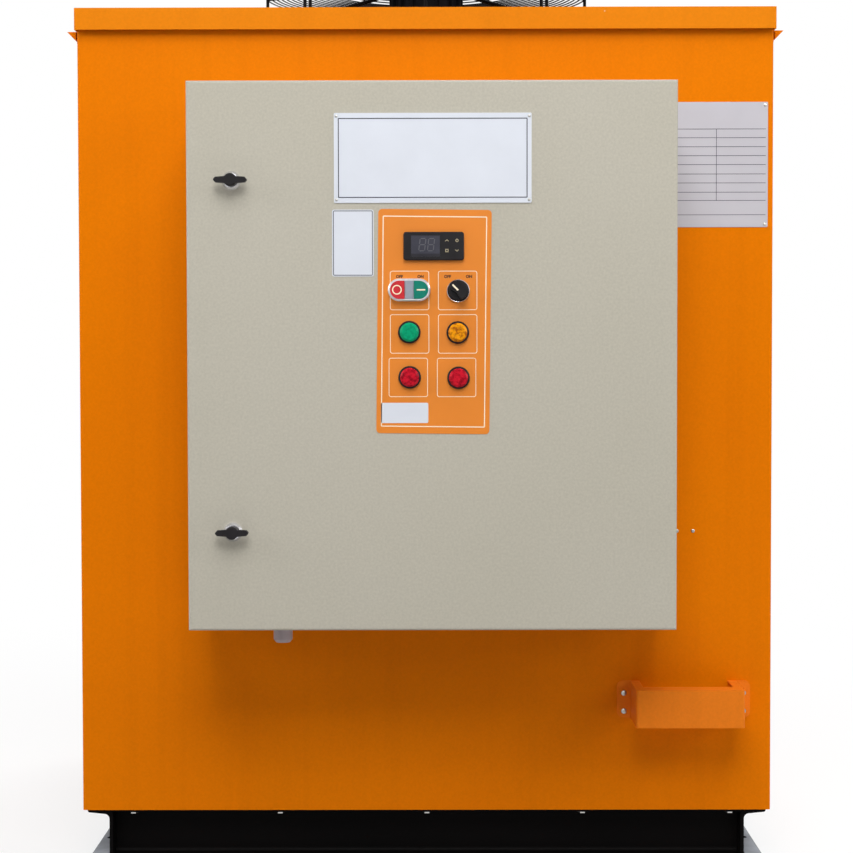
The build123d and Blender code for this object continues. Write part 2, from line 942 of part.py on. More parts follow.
def terminal_row(z):
    """Row of terminals, side by side on the rail, with a slot between one and the next."""
    foot = plate_front - rail_depth
    x0 = plate_left + device_row_inset
    x1 = x0 + terminal_count * terminal_pitch
    half = terminal_height / 2
    row = block(x0, x1, foot - terminal_depth, foot, z - half, z + half)
    for number in range(1, terminal_count):
        x = x0 + number * terminal_pitch
        row -= block(
            x - terminal_slot / 2,
            x + terminal_slot / 2,
            foot - terminal_depth - 1,
            foot - terminal_depth + terminal_slot_depth,
            z - half - 1,
            z + half + 1,
        )
    return row


def switchgear():
    """Breakers on the first rail, contactors on the second, terminals on the third."""
    first, second, third = rail_heights()
    x = plate_left + device_row_inset
    pieces = []
    for number in range(breaker_count):
        pieces.append(breaker(x + number * (breaker_width + breaker_gap), first))
    for number in range(contactor_count):
        pieces.append(contactor(x + number * (contactor_width + contactor_gap), second))
    pieces.append(terminal_row(third))
    return Compound(children=pieces)


def temperature_controller():
    """Rounded face with a sunk window, and the case behind the door."""
    x, z = on_door(controller_place)
    wide, high = controller_face
    front = door_face - controller_front
    face = block(x - wide / 2, x + wide / 2, front, door_face, z - high / 2, z + high / 2)
    face = fillet(face.edges().filter_by(Axis.Y), radius=controller_corner)
    face = chamfer(face.faces().sort_by(Axis.Y)[0].edges(), length=controller_chamfer)
    glass_x = x + window_place
    glass_w, glass_h = window_size
    face -= block(
        glass_x - glass_w / 2,
        glass_x + glass_w / 2,
        front - 1,
        front + window_recess,
        z - glass_h / 2,
        z + glass_h / 2,
    )
    wide, high = controller_body
    case = block(
        x - wide / 2, x + wide / 2, door_face, door_face + controller_depth, z - high / 2, z + high / 2
    )
    return face + case


def device_barrel(x, z):
    """Barrel through the door with its hexagonal nut behind."""
    barrel = rod_y(x, door_face, door_face + device_depth, z, device_barrel_radius)
    nut_y = door_face + sheet
    return barrel + hexagon_y(x, nut_y, nut_y + device_nut, z, device_nut_width)


def stadium(x, z, length, width, y0, y1):
    """Long shape with round ends, between two depths."""
    reach = (length - width) / 2
    body = block(x - reach, x + reach, y0, y1, z - width / 2, z + width / 2)
    for end in (x - reach, x + reach):
        body += rod_y(end, y0, y1, z, width / 2)
    return body


def twin_button_body():
    """Long bezel with one well for both buttons, and the lamp that stands between them."""
    x, z = on_door(twin_place)
    front = door_face - twin_front
    bezel = stadium(x, z, twin_length, twin_width, front, door_face)
    bezel = chamfer(bezel.faces().sort_by(Axis.Y)[0].edges(), length=twin_chamfer)
    inner_length, inner_width = twin_length - 2 * twin_rim, twin_width - 2 * twin_rim
    bezel -= stadium(x, z, inner_length, inner_width, front - 1, front + twin_well_depth)
    lamp = block(
        x - lamp_width / 2,
        x + lamp_width / 2,
        front + lamp_below_rim,
        door_face,
        z - inner_width / 2,
        z + inner_width / 2,
    )
    return bezel + lamp + device_barrel(x, z)


def push_button(side, proud):
    """Cap that fills one end of the well, free to go in by its travel."""
    x, z = on_door(twin_place)
    front = door_face - twin_front
    gap = button_running_gap
    length, width = twin_length - 2 * (twin_rim + gap), twin_width - 2 * (twin_rim + gap)
    back = front + twin_well_depth - button_travel - gap
    cap = stadium(x, z, length, width, front - proud, back)
    near = lamp_width / 2 + gap
    keep = block(
        min(x + side * near, x + side * twin_length),
        max(x + side * near, x + side * twin_length),
        front - proud - 1,
        back + 1,
        z - twin_width,
        z + twin_width,
    )
    return cap & keep


def selector_body():
    """Low bezel with a raised rim round the knob, and the barrel."""
    x, z = on_door(selector_place)
    front = door_face - selector_bezel_height
    knob_well = selector_knob_radius + selector_gap
    bezel = turned_y(
        x,
        z,
        (0, door_face),
        (selector_bezel_radius, door_face),
        (selector_bezel_radius, front),
        (selector_bezel_radius - selector_chamfer, front - selector_ring),
        (knob_well, front - selector_ring),
        (knob_well, front),
        (0, front),
    )
    return bezel + device_barrel(x, z)


def selector_knob():
    """Round base with a raised grip, narrower at its waist, turned to its left stop."""
    x, z = on_door(selector_place)
    back = door_face - selector_bezel_height - selector_gap
    front = back - selector_base
    knob = turned_y(
        0,
        0,
        (0, back),
        (selector_knob_radius, back),
        (selector_knob_radius, front + selector_chamfer),
        (selector_knob_radius - selector_chamfer, front),
        (0, front),
    )
    reach = selector_knob_radius - selector_chamfer
    end, waist = selector_grip_width / 2, selector_grip_waist / 2
    grip = front_outline(
        [
            (-waist, reach),
            (-end, reach - waist),
            (-waist, 0),
            (-end, waist - reach),
            (-waist, -reach),
            (waist, -reach),
            (end, waist - reach),
            (waist, 0),
            (end, reach - waist),
            (waist, reach),
        ],
        back - selector_grip,
        front,
    )
    return Pos(x, 0, z) * Rot(0, -selector_rest, 0) * (knob + grip)


def pilot_body(place):
    """Bezel with its chamfer, barrel and nut of one lamp."""
    x, z = on_door(place)
    front = door_face - pilot_bezel_height
    bezel = turned_y(
        x,
        z,
        (0, door_face),
        (pilot_bezel_radius, door_face),
        (pilot_bezel_radius, front + pilot_bezel_chamfer),
        (pilot_bezel_radius - pilot_bezel_chamfer, front),
        (0, front),
    )
    return bezel + device_barrel(x, z)


def pilot_lens(place):
    """Cap of one lamp on its bezel, bevelled round its face."""
    x, z = on_door(place)
    seat = door_face - pilot_bezel_height
    front = seat - pilot_lens_height
    return turned_y(
        x,
        z,
        (0, seat),
        (pilot_lens_radius, seat),
        (pilot_lens_radius, front + pilot_lens_chamfer),
        (pilot_lens_radius - pilot_lens_chamfer, front),
        (0, front),
    )


def cable_gland():
    """Hexagon under the box, tapered cap below it, thread and locknut inside."""
    hex_low = box_bottom - gland_hex_height
    low = box_bottom - gland_drop
    hexagon = Pos(gland_x, gland_y, hex_low) * extrude(
        RegularPolygon(gland_hex / 2, 6, major_radius=False), amount=gland_hex_height
    )
    cap = turned_z(
        gland_x,
        gland_y,
        (0, hex_low),
        (gland_cap_radius, hex_low),
        (gland_cap_radius, low + gland_cap_rim),
        (gland_cap_end, low),
        (0, low),
    )
    inside = box_bottom + 2 * sheet
    thread = rod_z(
        gland_x, gland_y, box_bottom - 1, inside + gland_thread, gland_hole_radius - gland_fit
    )
    nut = Pos(gland_x, gland_y, inside) * extrude(
        RegularPolygon(gland_hex / 2, 6, major_radius=False), amount=gland_nut
    )
    bore = rod_z(gland_x, gland_y, low - 1, inside + gland_thread + 1, gland_bore_radius)
    return hexagon + cap + thread + nut - bore


def folded_bracket():
    """Strip bent round three sides of a rectangle, with feet on the cabinet and top flanges."""
    x0, x1 = bracket_left, bracket_right
    y0 = bracket_front
    z0, z1 = bracket_bottom, bracket_top
    body = block(x0, x1, y0, front_y, z0, z1)
    body = fillet(upright_edges(body, x0, y0) + upright_edges(body, x1, y0), radius=bracket_bend)
    hollow = block(x0 + sheet, x1 - sheet, y0 + sheet, front_y + 1, z0 - 1, z1 - sheet)
    mouth = block(
        x0 + bracket_side_fold,
        x1 - bracket_side_fold,
        y0 + bracket_front_fold,
        front_y + 1,
        z1 - sheet - 1,
        z1 + 1,
    )
    body = body - hollow - mouth
    for outer, inner in ((x0 - bracket_foot, x0 + sheet), (x1 + bracket_foot, x1 - sheet)):
        foot = block(min(outer, inner), max(outer, inner), front_y - sheet, front_y, z0, z1)
        ends = [e for e in foot.edges().filter_by(Axis.Y) if abs(e.center().X - outer) < 0.01]
        foot = fillet(ends, radius=bracket_foot_corner)
        way = 1 if outer > inner else -1
        for rise in bracket_holes_z:
            hole_x = outer - way * bracket_hole_edge
            foot -= rod_y(hole_x, front_y - sheet - 1, front_y + 1, z0 + rise, bracket_hole_radius)
        body += foot
    return body


def water_socket(z):
    """Threaded socket through the rear panel with its flange on the outside."""
    inner, outer = half_depth - sheet - socket_inside, half_depth + socket_reach
    flange = half_depth + socket_flange
    return turned_y(
        socket_x,
        z,
        (socket_bore_radius, inner),
        (socket_radius, inner),
        (socket_radius, half_depth),
        (socket_flange_radius, half_depth),
        (socket_flange_radius, flange),
        (socket_radius, flange),
        (socket_radius, outer),
        (socket_bore_radius, outer),
    )


def main():
    base_frame()
    floor_tray()
    save("front_panel", end_panel(-1))
    save("rear_panel", rear_panel())
    plenum_deck()
    for name, side in (("left", -1), ("right", 1)):
        save(f"{name}_side_panel", side_panel(side))
        frame, core = coil(side)
        save(f"{name}_coil_frame", frame)
        save(f"{name}_condenser_coil", core)
        save(f"{name}_rain_hood", rain_hood(side))
    save("roof_cap", roof_cap())
    save("fan_ring", fan_ring())
    save("fan_rotor", fan_rotor())
    save("fan_motor", fan_motor())
    save("fan_guard_grille", guard_grille())
    save("fan_guard_cage", guard_cage())
    save("enclosure_body", enclosure_body())
    save("enclosure_door", enclosure_door())
    save("door_gasket", door_gasket())
    save("hinge_brackets", hinge_brackets())
    save("hinge_knuckles", hinge_knuckles())
    save("mounting_plate", mounting_plate())
    save("cable_ducts", cable_ducts())
    save("switchgear", switchgear())
    for name, (x, z) in zip(("upper", "lower"), lock_places()):
        save(f"{name}_lock_rosette", lock_rosette(x, z))
        save(f"{name}_wing_knob", wing_knob(x, z))
    save("temperature_controller", temperature_controller())
    save("twin_button_body", twin_button_body())
    save("stop_button", push_button(-1, stop_proud))
    save("start_button", push_button(1, start_proud))
    save("selector_body", selector_body())
    save("selector_knob", selector_knob())
    save("pilot_bodies", Compound(children=[pilot_body(place) for place in pilot_places]))
    green, amber, *reds = pilot_places
    save("pilot_lens_green", pilot_lens(green))
    save("pilot_lens_amber", pilot_lens(amber))
    save("pilot_lenses_red", Compound(children=[pilot_lens(place) for place in reds]))
    save("cable_gland", cable_gland())
    save("folded_bracket", folded_bracket())
    save("water_inlet_socket", water_socket(inlet_z))
    save("water_outlet_socket", water_socket(outlet_z))


main()
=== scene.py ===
import json
import math

import bmesh
import bpy
from mathutils import Matrix, Vector


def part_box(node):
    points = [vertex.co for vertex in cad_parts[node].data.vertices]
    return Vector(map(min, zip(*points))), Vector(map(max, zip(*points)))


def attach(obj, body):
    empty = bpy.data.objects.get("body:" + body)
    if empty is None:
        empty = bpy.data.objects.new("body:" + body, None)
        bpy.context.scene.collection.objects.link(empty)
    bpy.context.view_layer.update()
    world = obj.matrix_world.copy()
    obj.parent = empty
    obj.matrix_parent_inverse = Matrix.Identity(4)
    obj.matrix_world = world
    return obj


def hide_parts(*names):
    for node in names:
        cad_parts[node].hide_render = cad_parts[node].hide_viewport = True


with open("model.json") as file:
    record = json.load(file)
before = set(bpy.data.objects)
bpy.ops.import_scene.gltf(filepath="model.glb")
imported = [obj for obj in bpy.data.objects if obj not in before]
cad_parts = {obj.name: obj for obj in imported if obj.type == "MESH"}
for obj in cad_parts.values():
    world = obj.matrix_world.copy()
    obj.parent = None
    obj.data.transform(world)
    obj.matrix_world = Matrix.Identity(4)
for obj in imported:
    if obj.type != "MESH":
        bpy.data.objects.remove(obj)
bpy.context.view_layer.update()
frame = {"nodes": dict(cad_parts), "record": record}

MM = 0.001

# Camera, matched to the photograph
IMAGE_SIDE = 853
FOCAL_PX = 2105.0
SENSOR_WIDTH = 36.0
CAMERA_PLACE = Vector((0.0111, -3.350, 0.7189))
PITCH = math.radians(2.20)
YAW = math.radians(-0.20)
ROLL = math.radians(-0.10)

# Fan guard, in millimetres. Its hoops lie on a cone that falls by GUARD_FALL from the motor to the rim
GUARD_WIRE = 2.2
GUARD_LEG = 5.0
GUARD_FALL = 21.0
GUARD_PITCH = 7.0
GUARD_OPEN_RADIUS = 160.0
GUARD_SIDE_HOOPS = (5.0, 27.0)
GUARD_TWIN_GAP = 12.0

# Places from the frame: the door's lower left front corner, and the cabinet's front face
DOOR_LEFT, DOOR_Y, DOOR_FOOT = (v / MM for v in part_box("enclosure_door")[0])
PANEL_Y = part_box("front_panel")[0].y / MM

# Sheets on the door: places from the door's lower left corner, in millimetres
OVERLAY = (314.4, 394.2, 144.0, 284.8)
OVERLAY_LEAN = -0.66
OVERLAY_THICK = 0.5
OVERLAY_BORDER_MARGINS = (11.4, 16.8)
OVERLAY_BORDER_LINE = 1.3
BOX_LINE = 0.8
PRINT_RISE = 0.12
DEVICE_BOXES = (
    (283.5, 434.0), (344.6, 433.9), (283.5, 378.8), (344.6, 378.7), (281.7, 323.5), (343.1, 323.4),
)
BOX_SIDE = 49.8
BLANK_BOX = (277.0, 278.3, 60.2, 25.8)
# Labels over the two switches: piece, word, place from the door's left edge
LABELS = (
    ("off_start", "OFF", 270.7), ("on_start", "ON", 297.5),
    ("off_select", "OFF", 331.8), ("on_select", "ON", 359.1),
)
LABEL_HEIGHT = 451.4
LABEL_SIZE = 5.0
# Window in the controller: place from its centre, width, height, depth of the recess, dark strip below
WINDOW = (-10.5, 0.0, 37.0, 27.0, 0.8, 3.6)
TWIN_FRONT = 9.0
BRACKET_HOLES_X = (273.5, 438.5)
BRACKET_HOLES_Z = (213.0, 238.0)
# Marks on the stop and start buttons and on the selector's grip
STOP_RING = (6.2, 4.7)
START_BAR_HALF = 5.4
START_BAR_WIDTH = 1.7
POINTER_REACH = (10.6, 0.5)
POINTER_WIDTH = 2.1
POINTER_ANGLE = math.radians(135)
# Devices inside the box, in millimetres
CONTACTOR_DEPTH = 78.0
CONTACTOR_WIDTH = 45.0
BREAKER_HEIGHT = 82.0
BREAKER_WIDTH = 17.5
BREAKER_DEPTH = 44.0
BREAKER_REACH = 62.0
BREAKER_COUNT = 6
BREAKER_SCREW_RISE = 33
CONTACTOR_GAP = 14
CONTACTOR_COUNT = 3
POLE_COUNT = 3
POLE_PITCH = 15
POLE_SCREW_RISE = 28
RAIL_DROPS = (205.0, 385.0)
TERMINALS = 14
TERMINAL_PITCH = 8
TERMINAL_DEPTH = 38
TERMINAL_SCREW_RISE = 14
# Bolts under the base frame's front flange, and how deep the lamp between the two buttons lies
BASE_BOLTS = (-409.0, -204.0, 0.6, 217.5, 423.0)
LAMP_SUNK = 0.8
# Plates on the door: centre from the door's lower left corner, width and height
WHITE_PLATE = (313.2, 601.7, 250.7, 113.7)
NOTICE_PLATE = (211.7, 494.2, 52.7, 84.7)
# Rating plate on the cabinet, in the frame's millimetres: left, right, foot and top, then its ruled lines
RATING_PLATE = (325.0, 469.6, 880.7, 1051.7)
RATING_ROWS = (1014.8, 1002.9, 990.6, 978.4, 966.2, 953.4, 941.2, 928.5, 917.2, 897.6)
RATING_COLUMN = 399.0
RATING_LINE = 0.7
PANEL_SCREWS = ((346.4, 462.7), (368.5, 462.6))


def srgb(red, green, blue):
    """Colour from 0-255 display values to the linear values that shaders take."""
    def channel(value):
        value /= 255
        return value / 12.92 if value <= 0.04045 else ((value + 0.055) / 1.055) ** 2.4
    return channel(red), channel(green), channel(blue), 1.0


def new_material(name, rough, metallic=0.0, specular=0.5):
    material = bpy.data.materials.new(name)
    material.use_nodes = True
    shader = material.node_tree.nodes["Principled BSDF"]
    shader.inputs["Roughness"].default_value = rough
    shader.inputs["Metallic"].default_value = metallic
    shader.inputs["Specular IOR Level"].default_value = specular
    return material, material.node_tree.nodes, material.node_tree.links, shader


def object_coords(nodes, links, stretch=(1, 1, 1)):
    place = nodes.new("ShaderNodeTexCoord")
    mapping = nodes.new("ShaderNodeMapping")
    mapping.inputs["Scale"].default_value = stretch
    links.new(place.outputs["Object"], mapping.inputs["Vector"])
    return mapping.outputs["Vector"]


def noise(nodes, links, coords, scale, detail=3.0, rough=0.5):
    texture = nodes.new("ShaderNodeTexNoise")
    texture.inputs["Scale"].default_value = scale
    texture.inputs["Detail"].default_value = detail
    texture.inputs["Roughness"].default_value = rough
    links.new(coords, texture.inputs["Vector"])
    return texture.outputs["Fac"]


def ramp(nodes, links, value, stops):
    """Colour ramp with (position, colour) stops."""
    node = nodes.new("ShaderNodeValToRGB")
    elements = node.color_ramp.elements
    while len(elements) < len(stops):
        elements.new(0.5)
    for element, (position, colour) in zip(elements, stops):
        element.position = position
        element.color = colour
    links.new(value, node.inputs["Fac"])
    return node.outputs["Color"]


def mix(nodes, links, factor, first, second, mode="MIX"):
    node = nodes.new("ShaderNodeMix")
    node.data_type = "RGBA"
    node.blend_type = mode
    for socket, value in ((0, factor), (6, first), (7, second)):
        if isinstance(value, (int, float, tuple)):
            node.inputs[socket].default_value = value
        else:
            links.new(value, node.inputs[socket])
    return node.outputs[2]


def add_bump(nodes, links, shader, height, strength, distance):
    bump = nodes.new("ShaderNodeBump")
    bump.inputs["Strength"].default_value = strength
    bump.inputs["Distance"].default_value = distance
    links.new(height, bump.inputs["Height"])
    links.new(bump.outputs["Normal"], shader.inputs["Normal"])
    return bump


def powder_coat(name, main, worn, rough=0.42, peel=0.12, specular=0.04, grain=0.94, marks=0.0, dust_and_sheen=0.0):
    """Baked paint with faint clouds, rain streaks and fine orange peel, rare specks, and dust with a painted
    sheen on ledges.
    """
    material, nodes, links, shader = new_material(name, rough, specular=specular)
    coords = object_coords(nodes, links)
    cloud = noise(nodes, links, coords, 3.5, 4)
    tone = ramp(nodes, links, cloud, [(0.35, main), (0.75, worn)])
    fine = noise(nodes, links, coords, 330, 2)
    shade = ramp(nodes, links, fine, [(0.3, (grain, grain, grain, 1)), (0.7, (1, 1, 1, 1))])
    tone = mix(nodes, links, 1.0, tone, shade, "MULTIPLY")
    if marks:
        streak = noise(nodes, links, object_coords(nodes, links, (38, 38, 0.9)), 1.0, 3)
        wash = ramp(nodes, links, streak, [(0.34, (0.97, 0.965, 0.96, 1)), (0.5, (1, 1, 1, 1))])
        tone = mix(nodes, links, 1.0, tone, wash, "MULTIPLY")
        tone = mix(nodes, links, specks(nodes, links, coords, marks), tone, srgb(226, 202, 168))
    # Up-facing faces turn pale blue-grey: partly dust, partly a painted reflection of the light from above.
    if dust_and_sheen:
        tone = mix(nodes, links, ledge_dust_and_sheen(nodes, links, coords, dust_and_sheen), tone, srgb(178, 183, 192))
    links.new(tone, shader.inputs["Base Color"])
    gloss = noise(nodes, links, coords, 14, 3)
    spread = nodes.new("ShaderNodeMapRange")
    spread.inputs["To Min"].default_value = rough - 0.06
    spread.inputs["To Max"].default_value = rough + 0.08
    links.new(gloss, spread.inputs["Value"])
    links.new(spread.outputs["Result"], shader.inputs["Roughness"])
    add_bump(nodes, links, shader, noise(nodes, links, coords, 900, 2), peel, 0.0004)
    return material


def specks(nodes, links, coords, strength):
    """Rare pale chips about a millimetre across: one in a few cells, at the cell's own point."""
    cells = nodes.new("ShaderNodeTexVoronoi")
    cells.inputs["Scale"].default_value = 26
    links.new(coords, cells.inputs["Vector"])
    dot = ramp(nodes, links, cells.outputs["Distance"], [(0.016, (1, 1, 1, 1)), (0.034, (0, 0, 0, 1))])
    some = ramp(nodes, links, cells.outputs["Color"], [(0.6, (0, 0, 0, 1)), (0.66, (strength,) * 3 + (1,))])
    return mix(nodes, links, 1.0, dot, some, "MULTIPLY")


def ledge_dust_and_sheen(nodes, links, coords, strength):
    """Dust and a painted reflection together: a pale blue-grey laid in patches only on faces that look up.
    """
    shape = nodes.new("ShaderNodeNewGeometry")
    split = nodes.new("ShaderNodeSeparateXYZ")
    links.new(shape.outputs["Normal"], split.inputs["Vector"])
    level = ramp(nodes, links, split.outputs["Z"], [(0.8, (0, 0, 0, 1)), (0.99, (strength,) * 3 + (1,))])
    cloud = noise(nodes, links, coords, 30, 4)
    patch = ramp(nodes, links, cloud, [(0.2, (0.7, 0.7, 0.7, 1)), (0.6, (1, 1, 1, 1))])
    return mix(nodes, links, 1.0, level, patch, "MULTIPLY")


def moulded(name, main, rough=0.45, specular=0.15, grain=0.08):
    """Moulded plastic or rubber with a faint grain."""
    material, nodes, links, shader = new_material(name, rough, specular=specular)
    coords = object_coords(nodes, links)
    lighter = tuple(min(1.0, c * 1.25 + 0.004) for c in main[:3]) + (1.0,)
    tone = ramp(nodes, links, noise(nodes, links, coords, 60, 3), [(0.3, main), (0.8, lighter)])
    links.new(tone, shader.inputs["Base Color"])
    add_bump(nodes, links, shader, noise(nodes, links, coords, 2200, 2), grain, 0.0002)
    return material


def bare_metal(name, main, rough, stretch=(1, 1, 1), scale=500, strength=0.06):
    """Metal with fine drawn or cast marks."""
    material, nodes, links, shader = new_material(name, rough, metallic=1.0)
    coords = object_coords(nodes, links, stretch)
    marks = noise(nodes, links, coords, scale, 4)
    darker = tuple(c * 0.82 for c in main[:3]) + (1.0,)
    links.new(ramp(nodes, links, marks, [(0.3, darker), (0.7, main)]), shader.inputs["Base Color"])
    add_bump(nodes, links, shader, marks, strength, 0.0002)
    return material


def galvanised(name):
    """Zinc coating with its crystals as patches of tone."""
    material, nodes, links, shader = new_material(name, 0.42, metallic=0.9)
    coords = object_coords(nodes, links)
    cells = nodes.new("ShaderNodeTexVoronoi")
    cells.inputs["Scale"].default_value = 150
    links.new(coords, cells.inputs["Vector"])
    stops = [(0.1, srgb(164, 167, 170)), (0.9, srgb(186, 189, 192))]
    tone = ramp(nodes, links, cells.outputs["Color"], stops)
    links.new(tone, shader.inputs["Base Color"])
    add_bump(nodes, links, shader, cells.outputs["Distance"], 0.05, 0.0003)
    return material


def fin_stack(name):
    """Coil face: close upright fins with dark stripes of painted shade in the gaps between them, and darker
    rows where the tubes lie.
    """
    material, nodes, links, shader = new_material(name, 0.5, metallic=0.7)
    place = nodes.new("ShaderNodeTexCoord")
    split = nodes.new("ShaderNodeSeparateXYZ")
    links.new(place.outputs["Object"], split.inputs["Vector"])

    def stripes(axis, pitch):
        turn = nodes.new("ShaderNodeMath")
        turn.operation = "MULTIPLY"
        turn.inputs[1].default_value = math.tau / pitch
        links.new(split.outputs[axis], turn.inputs[0])
        wave = nodes.new("ShaderNodeMath")
        wave.operation = "SINE"
        links.new(turn.outputs[0], wave.inputs[0])
        level = nodes.new("ShaderNodeMapRange")
        level.inputs["From Min"].default_value = -1.0
        links.new(wave.outputs[0], level.inputs["Value"])
        return level.outputs["Result"]

    fins = stripes("Y", 0.0042)
    rows = stripes("Z", 0.0254)
    # The dark stripes between the fins are painted shade of the deep gaps.
    fin_gap_shade_tone = ramp(nodes, links, fins, [(0.15, srgb(38, 40, 42)), (0.55, srgb(172, 175, 178))])
    row_tone = ramp(nodes, links, rows, [(0.05, (0.72, 0.7, 0.68, 1)), (0.25, (1, 1, 1, 1))])
    links.new(mix(nodes, links, 1.0, fin_gap_shade_tone, row_tone, "MULTIPLY"), shader.inputs["Base Color"])
    add_bump(nodes, links, shader, fins, 0.8, 0.0015)
    return material


def lens(name, main, deep):
    """Ribbed coloured cap over a lamp."""
    material, nodes, links, shader = new_material(name, 0.28, specular=0.1)
    coords = object_coords(nodes, links)
    tone = ramp(nodes, links, noise(nodes, links, coords, 190, 5, 0.7), [(0.4, deep), (0.56, main)])
    links.new(tone, shader.inputs["Base Color"])
    add_bump(nodes, links, shader, noise(nodes, links, coords, 500, 2), 0.15, 0.0005)
    return material


def printed(name, main, rough=0.35):
    """Printed sheet with a slight clouding."""
    material, nodes, links, shader = new_material(name, rough, specular=0.2)
    coords = object_coords(nodes, links)
    dull = tuple(c * 0.965 for c in main[:3]) + (1.0,)
    tone = ramp(nodes, links, noise(nodes, links, coords, 25, 4), [(0.3, dull), (0.7, main)])
    links.new(tone, shader.inputs["Base Color"])
    add_bump(nodes, links, shader, noise(nodes, links, coords, 300, 2), 0.04, 0.0003)
    return material


def make_materials():
    black = srgb(10, 9, 9)
    return {
        "orange": powder_coat("orange powder coat", srgb(237, 126, 0), srgb(234, 122, 0), marks=0.7),
        # The roof cap's orange is a lit copy of the cabinet's: paler and yellower, a painted sheen of the
        # light from above on the lip.
        "roof_sheen_orange": powder_coat("roof powder coat with painted sheen", srgb(235, 134, 16), srgb(232, 130, 14), marks=0.7),
        "bracket_orange": powder_coat(
            "bracket powder coat", srgb(244, 132, 34), srgb(241, 128, 30), marks=0.7
        ),
        "duct_grey": moulded("duct grey", srgb(172, 175, 176), 0.5),
        "device_grey": moulded("device grey", srgb(206, 207, 203), 0.4),
        "grey": powder_coat(
            "pebble grey powder coat", srgb(195, 190, 176), srgb(192, 187, 172), 0.5, 0.3, grain=0.9
        ),
        "black_frame": powder_coat("black enamel", black, srgb(17, 14, 14), 0.4, 0.3, 0.03),
        # Black enamel whose upward faces carry dust and a painted sheen.
        "dusty_sheen_frame": powder_coat("dusty black enamel with painted sheen", black, srgb(17, 14, 14), 0.4, 0.3, 0.03, dust_and_sheen=0.95),
        "black_wire": powder_coat("black coated wire", srgb(16, 16, 19), srgb(28, 28, 32), 0.35, 0.1),
        "fan_black": powder_coat("fan black", srgb(18, 18, 21), srgb(28, 28, 32), 0.5, 0.2),
        "galvanised": galvanised("galvanised sheet"),
        "zinc": bare_metal("zinc plate", srgb(176, 176, 172), 0.3),
        "fins": fin_stack("coil fins"),
        "black_plastic": moulded("black plastic", srgb(24, 22, 24)),
        "grey_plastic": moulded("pale grey plastic", srgb(178, 168, 174), 0.4),
        "silver_plastic": bare_metal("satin silver", srgb(206, 204, 208), 0.35),
        "chrome": bare_metal("chrome", srgb(226, 226, 232), 0.2, strength=0.01),
        "rubber": moulded("black foam rubber", srgb(24, 24, 25), 0.8, 0.2, 0.4),
        "brass": bare_metal("brass", srgb(200, 165, 95), 0.3),
        "red_button": moulded("red button", srgb(196, 46, 54), 0.3),
        "green_button": moulded("green button", srgb(12, 118, 100), 0.3),
        "lamp_glass": moulded("smoked lamp", srgb(148, 158, 170), 0.25),
        "green_lens": lens("green lens", srgb(0, 160, 112), srgb(0, 138, 96)),
        "amber_lens": lens("amber lens", srgb(240, 158, 12), srgb(168, 86, 10)),
        "red_lens": lens("red lens", srgb(204, 22, 44), srgb(138, 0, 24)),
        "overlay": printed("overlay sheet", srgb(232, 137, 50)),
        "overlay_line": printed("overlay line", srgb(255, 238, 208)),
        "ink": printed("black ink", srgb(34, 28, 30)),
        "white_plate": printed("white plate", srgb(222, 226, 235)),
        "plate_line": printed("plate line", srgb(58, 60, 74)),
        "rating_plate": printed("rating plate", srgb(199, 196, 203), 0.45),
        "window": moulded("smoked window", srgb(58, 58, 68), 0.2),
        "window_dark": moulded("window frame", srgb(40, 39, 45), 0.3),
        "segment": moulded("unlit segment", srgb(84, 84, 90), 0.3),
        "gold_print": printed("gold print", srgb(172, 160, 130)),
        "steel": bare_metal("bright steel", srgb(205, 203, 200), 0.22),
    }


SLOT_MATERIALS = {
    "orange_paint": "orange", "black_paint": "black_frame", "grey_paint": "grey",
    "galvanised_steel": "galvanised", "zinc_plated": "zinc", "coil_fins": "fins",
    "fan_black": "fan_black", "guard_wire": "black_wire", "black_rubber": "rubber",
    "black_plastic": "black_plastic", "grey_plastic": "grey_plastic",
    "silver_plastic": "silver_plastic", "chrome_trim": "chrome", "red_button": "red_button",
    "green_button": "green_button", "green_lens": "green_lens", "amber_lens": "amber_lens",
    "red_lens": "red_lens", "brass_fitting": "brass",
}


NODE_MATERIALS = {
    # The base's side channels take the enamel with dust and a painted sheen on their upward faces.
    "base_channel_left": "dusty_sheen_frame", "base_channel_right": "dusty_sheen_frame",
    # The roof cap takes the orange with the painted sheen.
    "roof_cap": "roof_sheen_orange", "folded_bracket": "bracket_orange",
    "cable_ducts": "duct_grey", "switchgear": "device_grey",
}


def dress_nodes(materials):
    """Every carried-over node gets its procedural material."""
    for part in frame["record"]["subparts"]:
        node = frame["nodes"][part["node"]]
        node.data.materials.clear()
        node.data.materials.append(materials[SLOT_MATERIALS[part["material_slot"]]])
    for node, name in NODE_MATERIALS.items():
        frame["nodes"][node].data.materials[0] = materials[name]


def finish_piece(name, bm, body, material, smooth=False):
    mesh = bpy.data.meshes.new(name)
    bmesh.ops.recalc_face_normals(bm, faces=bm.faces)
    bm.to_mesh(mesh)
    bm.free()
    piece = bpy.data.objects.new(name, mesh)
    bpy.context.scene.collection.objects.link(piece)
    mesh.materials.append(material)
    if smooth:
        for polygon in mesh.polygons:
            polygon.use_smooth = True
        modifier = piece.modifiers.new("edges", "EDGE_SPLIT")
        modifier.split_angle = math.radians(35)
    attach(piece, body)
    return piece


def rounded_rectangle(centre_x, centre_z, width, height, radius, steps=6):
    points = []
    for corner, (sx, sz) in enumerate(((1, 1), (-1, 1), (-1, -1), (1, -1))):
        x = centre_x + sx * (width / 2 - radius)
        z = centre_z + sz * (height / 2 - radius)
        for step in range(steps + 1):
            angle = math.radians(90 * (corner + step / steps))
            points.append((x + radius * math.cos(angle), z + radius * math.sin(angle)))
    return points


def turned(points, centre, degrees):
    """Points in the door's plane, turned about a centre."""
    c, s = math.cos(math.radians(degrees)), math.sin(math.radians(degrees))
    cx, cz = centre
    return [(cx + (x - cx) * c - (z - cz) * s, cz + (x - cx) * s + (z - cz) * c) for x, z in points]


